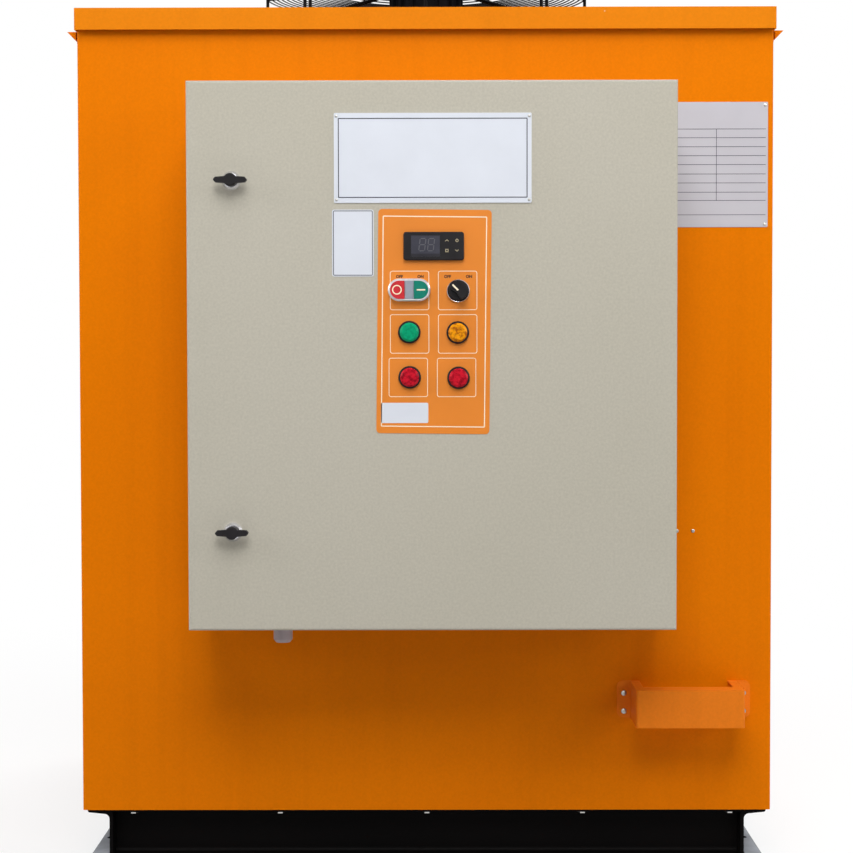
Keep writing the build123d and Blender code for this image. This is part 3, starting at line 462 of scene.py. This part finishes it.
def slab(bm, points, y_front, y_back, chamfer=0.0):
    """Flat piece that faces front, with an optional chamfer round its front edge. Millimetres."""
    count = len(points)
    cx = sum(p[0] for p in points) / count
    cz = sum(p[1] for p in points) / count
    rings = []
    for y, inset in ((y_back, 0.0), (y_front + chamfer, 0.0), (y_front, chamfer)):
        ring = []
        for x, z in points:
            away = math.hypot(x - cx, z - cz) or 1.0
            k = 1 - inset / away
            ring.append(bm.verts.new(((cx + (x - cx) * k) * MM, y * MM, (cz + (z - cz) * k) * MM)))
        rings.append(ring)
        if chamfer == 0.0 and len(rings) == 2:
            break
    bm.faces.new(rings[0])
    bm.faces.new(list(reversed(rings[-1])))
    for first, second in zip(rings, rings[1:]):
        for i in range(count):
            j = (i + 1) % count
            bm.faces.new((first[i], first[j], second[j], second[i]))


def line_loop(bm, points, width, y_front, y_back):
    """Printed outline that follows closed points, as a thin raised band."""
    count = len(points)
    cx = sum(p[0] for p in points) / count
    cz = sum(p[1] for p in points) / count
    loops = []
    for y in (y_front, y_back):
        for inset in (0.0, width):
            ring = []
            for i, (x, z) in enumerate(points):
                px, pz = points[i - 1]
                nx, nz = points[(i + 1) % count]
                tx, tz = nx - px, nz - pz
                length = math.hypot(tx, tz) or 1.0
                ox, oz = -tz / length, tx / length
                if (cx - x) * ox + (cz - z) * oz < 0:
                    ox, oz = -ox, -oz
                ring.append(bm.verts.new(((x + ox * inset) * MM, y * MM, (z + oz * inset) * MM)))
            loops.append(ring)
    outer_front, inner_front, outer_back, inner_back = loops
    for i in range(count):
        j = (i + 1) % count
        bm.faces.new((outer_front[i], outer_front[j], inner_front[j], inner_front[i]))
        bm.faces.new((outer_back[i], inner_back[i], inner_back[j], outer_back[j]))
        bm.faces.new((outer_front[i], outer_back[i], outer_back[j], outer_front[j]))
        bm.faces.new((inner_front[i], inner_front[j], inner_back[j], inner_back[i]))


def lathe(bm, profile, x, z, segments=32):
    """Solid of revolution about a line along Y. The profile is (radius, y) from front to back."""
    rings = []
    for radius, y in profile:
        if radius < 1e-6:
            rings.append([bm.verts.new((x * MM, y * MM, z * MM))])
            continue
        ring = []
        for i in range(segments):
            angle = math.tau * i / segments
            ring.append(
                bm.verts.new(
                    ((x + radius * math.cos(angle)) * MM, y * MM, (z + radius * math.sin(angle)) * MM)
                )
            )
        rings.append(ring)
    for first, second in zip(rings, rings[1:]):
        for i in range(segments):
            j = (i + 1) % segments
            if len(first) == 1:
                bm.faces.new((first[0], second[i], second[j]))
            elif len(second) == 1:
                bm.faces.new((first[i], second[0], first[j]))
            else:
                bm.faces.new((first[i], second[i], second[j], first[j]))


WORLD_LEVEL = 0.02
AIM = Vector((0.0, -0.45, 0.7))
# Softboxes: name, degrees round from the front, degrees up, distance, size, watts
LIGHTS = (
    ("overhead softbox", 0, 65, 3.4, (3.0, 1.4), 28.0),
    ("high softbox", 0, 48, 3.4, (2.6, 1.2), 39.0),
    ("front softbox", 0, 33, 3.6, (1.2, 1.0), 38.0),
    ("low fill", 0, 12, 4.6, (1.4, 0.9), 8.0),
    ("left softbox", -75, 20, 3.6, (1.8, 1.8), 47.0),
    ("right softbox", 75, 20, 3.6, (1.8, 1.8), 49.0),
    ("back softbox", 165, 38, 4.6, (2.2, 1.6), 150.0),
)


def world_and_lights():
    """White backdrop for what sees it, a faint one for the rest, and the softboxes."""
    world = bpy.data.worlds.new("studio")
    bpy.context.scene.world = world
    world.use_nodes = True
    nodes, links = world.node_tree.nodes, world.node_tree.links
    nodes.clear()
    output = nodes.new("ShaderNodeOutputWorld")
    seen = nodes.new("ShaderNodeBackground")
    seen.inputs["Color"].default_value = (1, 1, 1, 1)
    seen.inputs["Strength"].default_value = 1.0
    soft = nodes.new("ShaderNodeBackground")
    soft.inputs["Color"].default_value = (1, 1, 1, 1)
    soft.inputs["Strength"].default_value = WORLD_LEVEL
    path = nodes.new("ShaderNodeLightPath")
    most = nodes.new("ShaderNodeMath")
    most.operation = "MAXIMUM"
    links.new(path.outputs["Is Camera Ray"], most.inputs[0])
    links.new(path.outputs["Is Transmission Ray"], most.inputs[1])
    seen_by = nodes.new("ShaderNodeMath")
    seen_by.operation = "MAXIMUM"
    links.new(most.outputs[0], seen_by.inputs[0])
    links.new(path.outputs["Is Glossy Ray"], seen_by.inputs[1])
    both = nodes.new("ShaderNodeMixShader")
    links.new(seen_by.outputs[0], both.inputs["Fac"])
    links.new(soft.outputs[0], both.inputs[1])
    links.new(seen.outputs[0], both.inputs[2])
    links.new(both.outputs[0], output.inputs["Surface"])
    for name, round_by, up_by, away, size, power in LIGHTS:
        turn, rise = math.radians(round_by), math.radians(up_by)
        toward = Vector((math.sin(turn) * math.cos(rise), -math.cos(turn) * math.cos(rise), math.sin(rise)))
        lamp = bpy.data.lights.new(name, "AREA")
        lamp.shape = "RECTANGLE"
        lamp.size, lamp.size_y = size
        lamp.energy = power
        light = bpy.data.objects.new(name, lamp)
        bpy.context.scene.collection.objects.link(light)
        light.location = AIM + toward * away
        light.rotation_euler = toward.to_track_quat("Z", "Y").to_euler()


def on_door(x, z):
    return DOOR_LEFT + x, DOOR_FOOT + z


def plain_slab(name, outline, y_front, y_back, body, material, chamfer=0.0):
    bm = bmesh.new()
    slab(bm, outline, y_front, y_back, chamfer)
    return finish_piece(name, bm, body, material)


def rivets(name, places, y, radius, height, body, material):
    """Low domed heads that face front."""
    bm = bmesh.new()
    profile = [(0.0, y - height)]
    for step in range(1, 6):
        angle = math.radians(90 * step / 5)
        profile.append((radius * math.sin(angle), y - height * math.cos(angle)))
    for x, z in places:
        lathe(bm, profile, x, z, 20)
    return finish_piece(name, bm, body, material, smooth=True)


def overlay(materials):
    """Printed sheet round the controls with its outlines and the blank box."""
    x, z, width, height = OVERLAY
    centre = on_door(x, z)
    front = DOOR_Y - OVERLAY_THICK
    outline = turned(rounded_rectangle(*centre, width, height, 5.0), centre, OVERLAY_LEAN)
    plain_slab("overlay_sheet", outline, front, DOOR_Y, "door", materials["overlay"])
    bm = bmesh.new()
    margin_x, margin_z = OVERLAY_BORDER_MARGINS
    border = turned(
        rounded_rectangle(*centre, width - margin_x, height - margin_z, 1.2, 2), centre, OVERLAY_LEAN
    )
    line_loop(bm, border, OVERLAY_BORDER_LINE, front - PRINT_RISE, front + 0.05)
    for x, z in DEVICE_BOXES:
        box = rounded_rectangle(*on_door(x, z), BOX_SIDE, BOX_SIDE, 3.0)
        line_loop(bm, box, BOX_LINE, front - PRINT_RISE, front + 0.05)
    finish_piece("overlay_outlines", bm, "door", materials["overlay_line"])
    x, z, width, height = BLANK_BOX
    blank = rounded_rectangle(*on_door(x, z), width, height, 2.0)
    plain_slab(
        "overlay_blank_box", blank, front - PRINT_RISE, front, "door", materials["white_plate"],
    )


def words(materials):
    """OFF and ON beside the two switches."""
    front = DOOR_Y - OVERLAY_THICK - 0.05
    for name, text, x in LABELS:
        curve = bpy.data.curves.new(name, "FONT")
        curve.body = text
        curve.size = LABEL_SIZE * MM
        curve.offset = 0.2 * MM
        curve.align_x = "CENTER"
        curve.align_y = "CENTER"
        curve.extrude = 0.05 * MM
        label = bpy.data.objects.new(name, curve)
        bpy.context.scene.collection.objects.link(label)
        px, pz = on_door(x, LABEL_HEIGHT)
        label.location = (px * MM, front * MM, pz * MM)
        label.rotation_euler = (math.radians(90), 0, 0)
        curve.materials.append(materials["ink"])
        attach(label, "door")


def bar(bm, start, end, width, y_front, y_back):
    """Straight flat bar between two places on the door's plane, in millimetres."""
    (x0, z0), (x1, z1) = start, end
    length = math.hypot(x1 - x0, z1 - z0)
    ox, oz = -(z1 - z0) / length * width / 2, (x1 - x0) / length * width / 2
    corners = [(x0 + ox, z0 + oz), (x0 - ox, z0 - oz), (x1 - ox, z1 - oz), (x1 + ox, z1 + oz)]
    slab(bm, corners, y_front, y_back)


def hoop(bm, x, z, outer, inner, y_front, y_back):
    """Flat ring that faces front."""
    lathe(bm, [(inner, y_back), (inner, y_front), (outer, y_front), (outer, y_back)], x, z)


def controller_face(materials):
    """Smoked window with its unlit figures, and four bare symbols on the keys."""
    low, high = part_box("temperature_controller")
    front = low.y / MM
    cx, cz = (low.x + high.x) / 2 / MM, (low.z + high.z) / 2 / MM
    x, z = cx + WINDOW[0], cz + WINDOW[1]
    wide, tall, sunk, foot = WINDOW[2:]
    frame_outline = rounded_rectangle(x, z, wide - 0.2, tall - 0.2, 0.6, 2)
    plain_slab(
        "window_frame", frame_outline, front + 0.35, front + sunk, "door", materials["window_dark"],
    )
    glass = rounded_rectangle(x, z + foot / 2, wide - 0.6, tall - foot - 0.6, 0.5, 2)
    plain_slab(
        "window_glass", glass, front + 0.15, front + 0.35, "door", materials["window"]
    )
    bm = bmesh.new()
    for centre in (-5.4, 5.6):
        seven_segments(bm, x + centre + 1.5, z + foot / 2, 7.4, 15.5, front + 0.08, front + 0.15)
    finish_piece("window_figures", bm, "door", materials["segment"])
    bm = bmesh.new()
    y_front, y_back = front - 0.06, front + 0.1
    left, right, upper, lower = cx + 16.7, cx + 29.5, cz + 7.0, cz - 5.7
    bar(bm, (left - 2.0, upper - 0.9), (left, upper + 1.0), 0.9, y_front, y_back)
    bar(bm, (left, upper + 1.0), (left + 2.0, upper - 0.9), 0.9, y_front, y_back)
    hoop(bm, right, upper, 2.0, 1.2, y_front, y_back)
    bar(bm, (right, upper), (right, upper + 2.4), 0.7, y_front - 0.02, y_back)
    hoop(bm, left, lower, 2.1, 1.2, y_front, y_back)
    for turn in range(4):
        angle = math.radians(90 * turn + 45)
        c, s = math.cos(angle), math.sin(angle)
        bar(bm, (left + 1.9 * c, lower + 1.9 * s), (left + 2.8 * c, lower + 2.8 * s), 0.8, y_front, y_back)
    bar(bm, (right - 2.0, lower + 1.0), (right, lower - 0.9), 0.9, y_front, y_back)
    bar(bm, (right, lower - 0.9), (right + 2.0, lower + 1.0), 0.9, y_front, y_back)
    finish_piece("key_symbols", bm, "door", materials["gold_print"])


def seven_segments(bm, x, z, wide, tall, y_front, y_back):
    """Figure eight of seven bars with small gaps, leaning a little to the right."""
    def place(u, v):
        return x + u + 0.12 * v, z + v
    half_w, half_t, gap = wide / 2, tall / 2, 0.8
    for v in (-half_t, 0, half_t):
        bar(bm, place(-half_w + gap, v), place(half_w - gap, v), 1.2, y_front, y_back)
    for u in (-half_w, half_w):
        for v in (-half_t, 0):
            bar(bm, place(u, v + gap), place(u, v + half_t - gap), 1.2, y_front, y_back)


def button_marks(materials):
    """Ring on the stop button, bar on the start button, and the smoked lamp between them."""
    low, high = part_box("stop_button")
    z = (low.z + high.z) / 2 / MM
    lamp_left, front = high.x / MM, low.y / MM
    bm = bmesh.new()
    hoop(bm, (low.x / MM + lamp_left) / 2 - 0.4, z, *STOP_RING, front - 0.1, front + 0.1)
    finish_piece("stop_ring", bm, "stop", materials["overlay_line"])
    low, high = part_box("start_button")
    lamp_right, front = low.x / MM, low.y / MM
    middle = (low.x + high.x) / 2 / MM
    bm = bmesh.new()
    start, end = (middle - START_BAR_HALF, z), (middle + START_BAR_HALF, z)
    bar(bm, start, end, START_BAR_WIDTH, front - 0.1, front + 0.1)
    finish_piece("start_bar", bm, "start", materials["overlay_line"])
    face = DOOR_Y - TWIN_FRONT + LAMP_SUNK
    lamp = rounded_rectangle((lamp_left + lamp_right) / 2, z, lamp_right - lamp_left - 0.6, 23.2, 0.6, 2)
    plain_slab("lamp_cap", lamp, face - 0.5, face + 0.2, "door", materials["lamp_glass"], 0.3)


def selector_marks(materials):
    """White pointer on the grip and a bright ring round the knob."""
    low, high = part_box("selector_knob")
    x, z = (low.x + high.x) / 2 / MM, (low.z + high.z) / 2 / MM
    front = low.y / MM
    c, s = math.cos(POINTER_ANGLE), math.sin(POINTER_ANGLE)
    far, near = POINTER_REACH
    bm = bmesh.new()
    tip, root = (x + far * c, z + far * s), (x + near * c, z + near * s)
    bar(bm, tip, root, POINTER_WIDTH, front - PRINT_RISE, front + 0.1)
    finish_piece("selector_pointer", bm, "selector", materials["overlay_line"])
    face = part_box("selector_body")[0].y / MM
    bm = bmesh.new()
    profile = [
        (13.5, face + 0.3), (13.7, face - 0.3), (14.1, face - 0.4), (14.6, face + 0.2), (14.7, face + 2.4),
    ]
    lathe(bm, profile, x, z, 48)
    finish_piece("selector_ring", bm, "door", materials["chrome"], smooth=True)


def white_plate(materials):
    """Bare white plate with a printed border and four rivets."""
    x, z, width, height = WHITE_PLATE
    centre = on_door(x, z)
    front = DOOR_Y - 1.2
    outline = rounded_rectangle(*centre, width, height, 1.5, 3)
    plain_slab("white_plate", outline, front, DOOR_Y, "door", materials["white_plate"], 0.3)
    bm = bmesh.new()
    border = rounded_rectangle(*centre, width - 10.4, height - 12.8, 1.0, 3)
    line_loop(bm, border, 1.2, front - 0.08, front + 0.05)
    finish_piece("white_plate_border", bm, "door", materials["plate_line"])
    away_x, away_z = width / 2 - 3.1, height / 2 - 4.0
    places = [(centre[0] + sx * away_x, centre[1] + sz * away_z) for sx in (-1, 1) for sz in (-1, 1)]
    rivets("white_plate_rivets", places, front, 1.9, 1.1, "door", materials["zinc"])


def notice_plate(materials):
    """Small white plate with a thin dark border."""
    x, z, width, height = NOTICE_PLATE
    centre = on_door(x, z)
    front = DOOR_Y - 0.6
    outline = rounded_rectangle(*centre, width, height, 2.5)
    plain_slab("notice_plate", outline, front, DOOR_Y, "door", materials["white_plate"])
    bm = bmesh.new()
    border = rounded_rectangle(*centre, width - 2.4, height - 2.4, 1.6)
    line_loop(bm, border, 0.9, front - 0.08, front + 0.05)
    finish_piece("notice_plate_border", bm, "door", materials["plate_line"])


def rating_plate(materials):
    """Bare engraved table on the cabinet, with its ruled lines and rivets."""
    left, right, low, high = RATING_PLATE
    front = PANEL_Y - 1.0
    outline = rounded_rectangle((left + right) / 2, (low + high) / 2, right - left, high - low, 1.5, 3)
    plain_slab(
        "rating_plate", outline, front, PANEL_Y, "chiller", materials["rating_plate"], 0.3
    )
    bm = bmesh.new()
    half, inset = RATING_LINE / 2, 3
    for z in RATING_ROWS:
        corners = [
            (right - inset, z - half), (right - inset, z + half),
            (left + inset, z + half), (left + inset, z - half),
        ]
        slab(bm, corners, front - 0.06, front + 0.05)
    column_top, column_foot = RATING_ROWS[0], RATING_ROWS[-2]
    corners = [
        (RATING_COLUMN + half, column_foot), (RATING_COLUMN + half, column_top),
        (RATING_COLUMN - half, column_top), (RATING_COLUMN - half, column_foot),
    ]
    slab(bm, corners, front - 0.06, front + 0.05)
    finish_piece("rating_plate_lines", bm, "chiller", materials["plate_line"])
    places = [(right - 4, high - 4), (right - 4, low + 4), (left + 4, high - 4), (left + 4, low + 4)]
    rivets("rating_plate_rivets", places, front, 2.4, 1.3, "chiller", materials["steel"])


def tube_rings(bm, rings, wire, steps=96, sides=6):
    """Wire hoops: each is (centre, radius) and lies level."""
    for (cx, cy, cz), radius in rings:
        loops = []
        for i in range(steps):
            angle = math.tau * i / steps
            ring = []
            for j in range(sides):
                lean = math.tau * j / sides
                r = radius + wire / 2 * math.cos(lean)
                x, y = cx + r * math.cos(angle), cy + r * math.sin(angle)
                z = cz + wire / 2 * math.sin(lean)
                ring.append(bm.verts.new((x * MM, y * MM, z * MM)))
            loops.append(ring)
        for i in range(steps):
            first, second = loops[i], loops[(i + 1) % steps]
            for j in range(sides):
                k = (j + 1) % sides
                bm.faces.new((first[j], second[j], second[k], first[k]))


def straight_wire(bm, start, end, wire, sides=6):
    start, end = Vector(start), Vector(end)
    along = (end - start).normalized()
    side = along.orthogonal().normalized()
    other = along.cross(side)
    rings = []
    for point in (start, end):
        ring = []
        for j in range(sides):
            lean = math.tau * j / sides
            away = (side * math.cos(lean) + other * math.sin(lean)) * wire / 2
            ring.append(bm.verts.new((point + away) * MM))
        rings.append(ring)
    for j in range(sides):
        k = (j + 1) % sides
        bm.faces.new((rings[0][j], rings[0][k], rings[1][k], rings[1][j]))
    bm.faces.new(rings[0])
    bm.faces.new(list(reversed(rings[1])))


def fan_guard(materials):
    """Wire guard over the fan: close hoops on a shallow cone, spokes under them, upright wires in pairs."""
    low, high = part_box("fan_guard_cage")
    foot, reach = low.z / MM, high.x / MM - GUARD_WIRE / 2
    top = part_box("fan_guard_grille")[1].z / MM
    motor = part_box("fan_motor")[1].x / MM
    fall = GUARD_FALL / (reach - motor)

    def level(radius):
        return top - GUARD_WIRE / 2 - fall * max(0.0, radius - motor)

    hoops = [((0, 0, foot + rise), reach) for rise in GUARD_SIDE_HOOPS]
    radius = reach
    while radius > motor + 4:
        hoops.append(((0, 0, level(radius)), radius))
        radius -= GUARD_PITCH if radius > GUARD_OPEN_RADIUS else 2 * GUARD_PITCH
    bm = bmesh.new()
    tube_rings(bm, hoops, GUARD_WIRE)
    stand = reach - GUARD_WIRE / 2 - GUARD_LEG / 2
    gap = math.degrees(GUARD_TWIN_GAP / 2 / stand)
    under = GUARD_WIRE / 2 + GUARD_LEG / 2
    for quarter in range(4):
        for angle in (90 * quarter, 90 * quarter + 45 - gap, 90 * quarter + 45 + gap):
            c, s = math.cos(math.radians(angle)), math.sin(math.radians(angle))
            inner = motor - 8
            start = (inner * c, inner * s, level(inner) - under)
            corner = (stand * c, stand * s, level(stand) - under)
            straight_wire(bm, start, corner, GUARD_LEG, 8)
            straight_wire(bm, (stand * c, stand * s, foot), corner, GUARD_LEG, 8)
    guard = finish_piece("fan_guard_wires", bm, "chiller", materials["black_wire"], smooth=True)
    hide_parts("fan_guard_grille", "fan_guard_cage")


def pan_screws(name, places, y, radius, body, material):
    """Low round heads with a crossed recess, facing front."""
    bm = bmesh.new()
    for number, (x, z) in enumerate(places):
        lathe(bm, [(0.0, y - 1.7), (radius * 0.55, y - 1.6), (radius * 0.9, y - 1.1), (radius, y)], x, z, 20)
        angle = math.radians(31 * number + 12)
        for lean in (angle, angle + math.pi / 2):
            c, s = radius * 0.5 * math.cos(lean), radius * 0.5 * math.sin(lean)
            bar(bm, (x - c, z - s), (x + c, z + s), 0.7, y - 1.85, y - 1.2)
    return finish_piece(name, bm, body, material, smooth=True)


def small_fasteners(materials):
    """Screws on the cabinet, the bracket's feet and under the base frame's flange."""
    zinc = materials["zinc"]
    pan_screws("panel_screws", PANEL_SCREWS, PANEL_Y, 2.6, "chiller", zinc)
    foot_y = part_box("folded_bracket")[1].y / MM - 2.0
    holes = [(x, z) for x in BRACKET_HOLES_X for z in BRACKET_HOLES_Z]
    pan_screws("bracket_screws", holes, foot_y, 3.9, "chiller", zinc)
    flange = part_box("base_channel_front")
    under, front = flange[1].z / MM - 6.2, flange[0].y / MM
    bm = bmesh.new()
    for x in BASE_BOLTS:
        bolt_under(bm, x, front + 11.0, under, 6.5, 2.4)
    finish_piece("base_bolts", bm, "chiller", materials["steel"])


def screw_heads(name, spots, radius, material):
    """Round washer heads on any face: each spot is a place and the way that the head looks."""
    profile = ((1.5, 0.0), (1.45, 0.9), (1.0, 1.0), (0.9, 0.9 + radius * 0.5), (0.5, 1.0 + radius * 0.6))
    bm = bmesh.new()
    for place, way in spots:
        turn = Vector(way).to_track_quat("Z", "Y").to_matrix()
        rings = []
        for share, rise in profile:
            ring = []
            for i in range(12):
                angle = math.tau * i / 12
                local = Vector((radius * share * math.cos(angle), radius * share * math.sin(angle), rise))
                ring.append(bm.verts.new((Vector(place) + turn @ local) * MM))
            rings.append(ring)
        bm.faces.new(list(reversed(rings[0])))
        bm.faces.new(rings[-1])
        for first, second in zip(rings, rings[1:]):
            for i in range(12):
                j = (i + 1) % 12
                bm.faces.new((first[i], first[j], second[j], second[i]))
    return finish_piece(name, bm, "chiller", material, smooth=True)


def panel_screws_all_round(materials):
    """Screws along the edges of the rear and side panels, and round the fan ring's flange."""
    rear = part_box("rear_panel")
    low, high = rear[0] / MM, rear[1] / MM
    spots = []
    for number in range(5):
        z = low.z + 60 + number * (high.z - low.z - 120) / 4
        for x in (low.x + 16, high.x - 16):
            spots.append(((x, high.y, z), (0, 1, 0)))
    for side, way in (("left", -1), ("right", 1)):
        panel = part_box(side + "_side_panel")
        low, high = panel[0] / MM, panel[1] / MM
        face = low.x if way < 0 else high.x
        for number in range(4):
            y = low.y + 50 + number * (high.y - low.y - 100) / 3
            for z in (low.z + 20, high.z - 20):
                spots.append(((face, y, z), (way, 0, 0)))
    screw_heads("cabinet_screws", spots, 3.2, materials["zinc"])
    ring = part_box("fan_ring")
    top, reach = ring[1].z / MM, ring[1].x / MM - 9
    around = [math.radians(45 * n + 22.5) for n in range(8)]
    spots = [((reach * math.cos(a), reach * math.sin(a), top), (0, 0, 1)) for a in around]
    screw_heads("ring_screws", spots, 3.4, materials["zinc"])


def both_ways(distance):
    return -distance, distance


def switchgear_details(materials):
    """Dark toggles on the breakers, and screws on every row of devices inside the box."""
    low, high = (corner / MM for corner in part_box("switchgear"))
    base = low.y + CONTACTOR_DEPTH
    first = high.z - BREAKER_HEIGHT / 2
    second, third = first - RAIL_DROPS[0], first - RAIL_DROPS[1]
    nose = base - BREAKER_REACH
    step = BREAKER_WIDTH + 0.5
    bm = bmesh.new()
    for number in range(BREAKER_COUNT):
        x = low.x + number * step + BREAKER_WIDTH / 2
        slab(bm, rounded_rectangle(x, first, 6.6, 12.2, 1.2, 2), nose - 6.2, nose - 0.2, 0.8)
        slab(bm, rounded_rectangle(x, first - 14, 12.0, 7.0, 0.8, 2), nose - 0.5, nose + 0.2)
    finish_piece("breaker_toggles", bm, "chiller", materials["black_plastic"])
    bm = bmesh.new()
    spots = []
    for number in range(BREAKER_COUNT):
        x = low.x + number * step + BREAKER_WIDTH / 2
        spots += [(x, first + rise, base - BREAKER_DEPTH, 3.2) for rise in both_ways(BREAKER_SCREW_RISE)]
    pole_face = base - CONTACTOR_DEPTH + 14
    for number in range(CONTACTOR_COUNT):
        x = low.x + number * (CONTACTOR_WIDTH + CONTACTOR_GAP)
        for pole in range(POLE_COUNT):
            place = x + POLE_PITCH * (pole + 0.5)
            spots += [(place, second + rise, pole_face, 3.4) for rise in both_ways(POLE_SCREW_RISE)]
    for number in range(TERMINALS):
        x = low.x + (number + 0.5) * TERMINAL_PITCH
        face = base - TERMINAL_DEPTH
        spots += [(x, third + rise, face, 2.3) for rise in both_ways(TERMINAL_SCREW_RISE)]
    for x, z, y, radius in spots:
        lathe(bm, [(0.0, y - 0.5), (radius * 0.9, y - 0.6), (radius, y + 0.1)], x, z, 16)
        bar(bm, (x - radius * 0.7, z), (x + radius * 0.7, z), 0.7, y - 0.8, y - 0.4)
    finish_piece("terminal_screws", bm, "chiller", materials["zinc"])


def bolt_under(bm, x, y, top, radius, height):
    """Hexagonal head with bevelled corners, hanging under a flange."""
    rings = []
    for reach, z in ((radius, top), (radius, top - height * 0.7), (radius * 0.85, top - height)):
        ring = []
        for i in range(6):
            angle = math.radians(60 * i)
            place = (x + reach * math.cos(angle), y + reach * math.sin(angle), z)
            ring.append(bm.verts.new(Vector(place) * MM))
        rings.append(ring)
    bm.faces.new(rings[0])
    bm.faces.new(list(reversed(rings[-1])))
    for first, second in zip(rings, rings[1:]):
        for i in range(6):
            j = (i + 1) % 6
            bm.faces.new((first[i], first[j], second[j], second[i]))


# Floor in metres: it turns white between two distances from the object, and how white it is at the first
FLOOR_HALF_SIDE = 14.0
FADE_NEAR = 0.7
FADE_FAR = 2.4
NEAR_GLOW = 0.8


def floor():
    """Pale floor that takes the object's shadow and fades to white away from it."""
    bm = bmesh.new()
    side = FLOOR_HALF_SIDE
    corners = [bm.verts.new((sx * side, sy * side, 0)) for sx, sy in ((-1, -1), (1, -1), (1, 1), (-1, 1))]
    bm.faces.new(corners)
    mesh = bpy.data.meshes.new("studio_floor")
    bm.to_mesh(mesh)
    bm.free()
    plane = bpy.data.objects.new("studio_floor", mesh)
    bpy.context.scene.collection.objects.link(plane)
    material, nodes, links, shader = new_material("pale floor", 0.8, specular=0.2)
    path = nodes.new("ShaderNodeLightPath")
    tone = mix(nodes, links, 0.0, (0.5, 0.5, 0.5, 1), (0.92, 0.92, 0.92, 1))
    links.new(path.outputs["Is Camera Ray"], tone.node.inputs[0])
    links.new(tone, shader.inputs["Base Color"])
    glow = nodes.new("ShaderNodeEmission")
    glow.inputs["Strength"].default_value = 1.0
    place = nodes.new("ShaderNodeTexCoord")
    away = nodes.new("ShaderNodeVectorMath")
    away.operation = "LENGTH"
    links.new(place.outputs["Object"], away.inputs[0])
    fade = nodes.new("ShaderNodeMapRange")
    fade.interpolation_type = "SMOOTHSTEP"
    fade.inputs["From Min"].default_value = FADE_NEAR
    fade.inputs["From Max"].default_value = FADE_FAR
    fade.inputs["To Min"].default_value = NEAR_GLOW
    links.new(away.outputs["Value"], fade.inputs["Value"])
    seen = nodes.new("ShaderNodeMath")
    seen.operation = "MAXIMUM"
    links.new(path.outputs["Is Camera Ray"], seen.inputs[0])
    links.new(path.outputs["Is Glossy Ray"], seen.inputs[1])
    share = nodes.new("ShaderNodeMath")
    share.operation = "MULTIPLY"
    links.new(seen.outputs[0], share.inputs[0])
    links.new(fade.outputs["Result"], share.inputs[1])
    both = nodes.new("ShaderNodeMixShader")
    links.new(share.outputs[0], both.inputs["Fac"])
    links.new(shader.outputs[0], both.inputs[1])
    links.new(glow.outputs[0], both.inputs[2])
    links.new(both.outputs[0], nodes["Material Output"].inputs["Surface"])
    mesh.materials.append(material)


def camera():
    data = bpy.data.cameras.new("camera")
    data.sensor_width = SENSOR_WIDTH
    data.lens = SENSOR_WIDTH * FOCAL_PX / IMAGE_SIDE
    eye = bpy.data.objects.new("camera", data)
    bpy.context.scene.collection.objects.link(eye)
    forward = Vector((math.sin(YAW), math.cos(YAW) * math.cos(PITCH), -math.sin(PITCH)))
    turn = forward.to_track_quat("-Z", "Y").to_matrix() @ Matrix.Rotation(ROLL, 3, "Z")
    eye.matrix_world = Matrix.Translation(CAMERA_PLACE) @ turn.to_4x4()
    bpy.context.scene.camera = eye


def save_sizes():
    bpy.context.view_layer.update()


def main():
    bpy.context.scene.view_settings.view_transform = "Standard"
    materials = make_materials()
    dress_nodes(materials)
    overlay(materials)
    words(materials)
    controller_face(materials)
    button_marks(materials)
    selector_marks(materials)
    white_plate(materials)
    notice_plate(materials)
    rating_plate(materials)
    fan_guard(materials)
    small_fasteners(materials)
    panel_screws_all_round(materials)
    switchgear_details(materials)
    world_and_lights()
    floor()
    camera()
    save_sizes()


main()
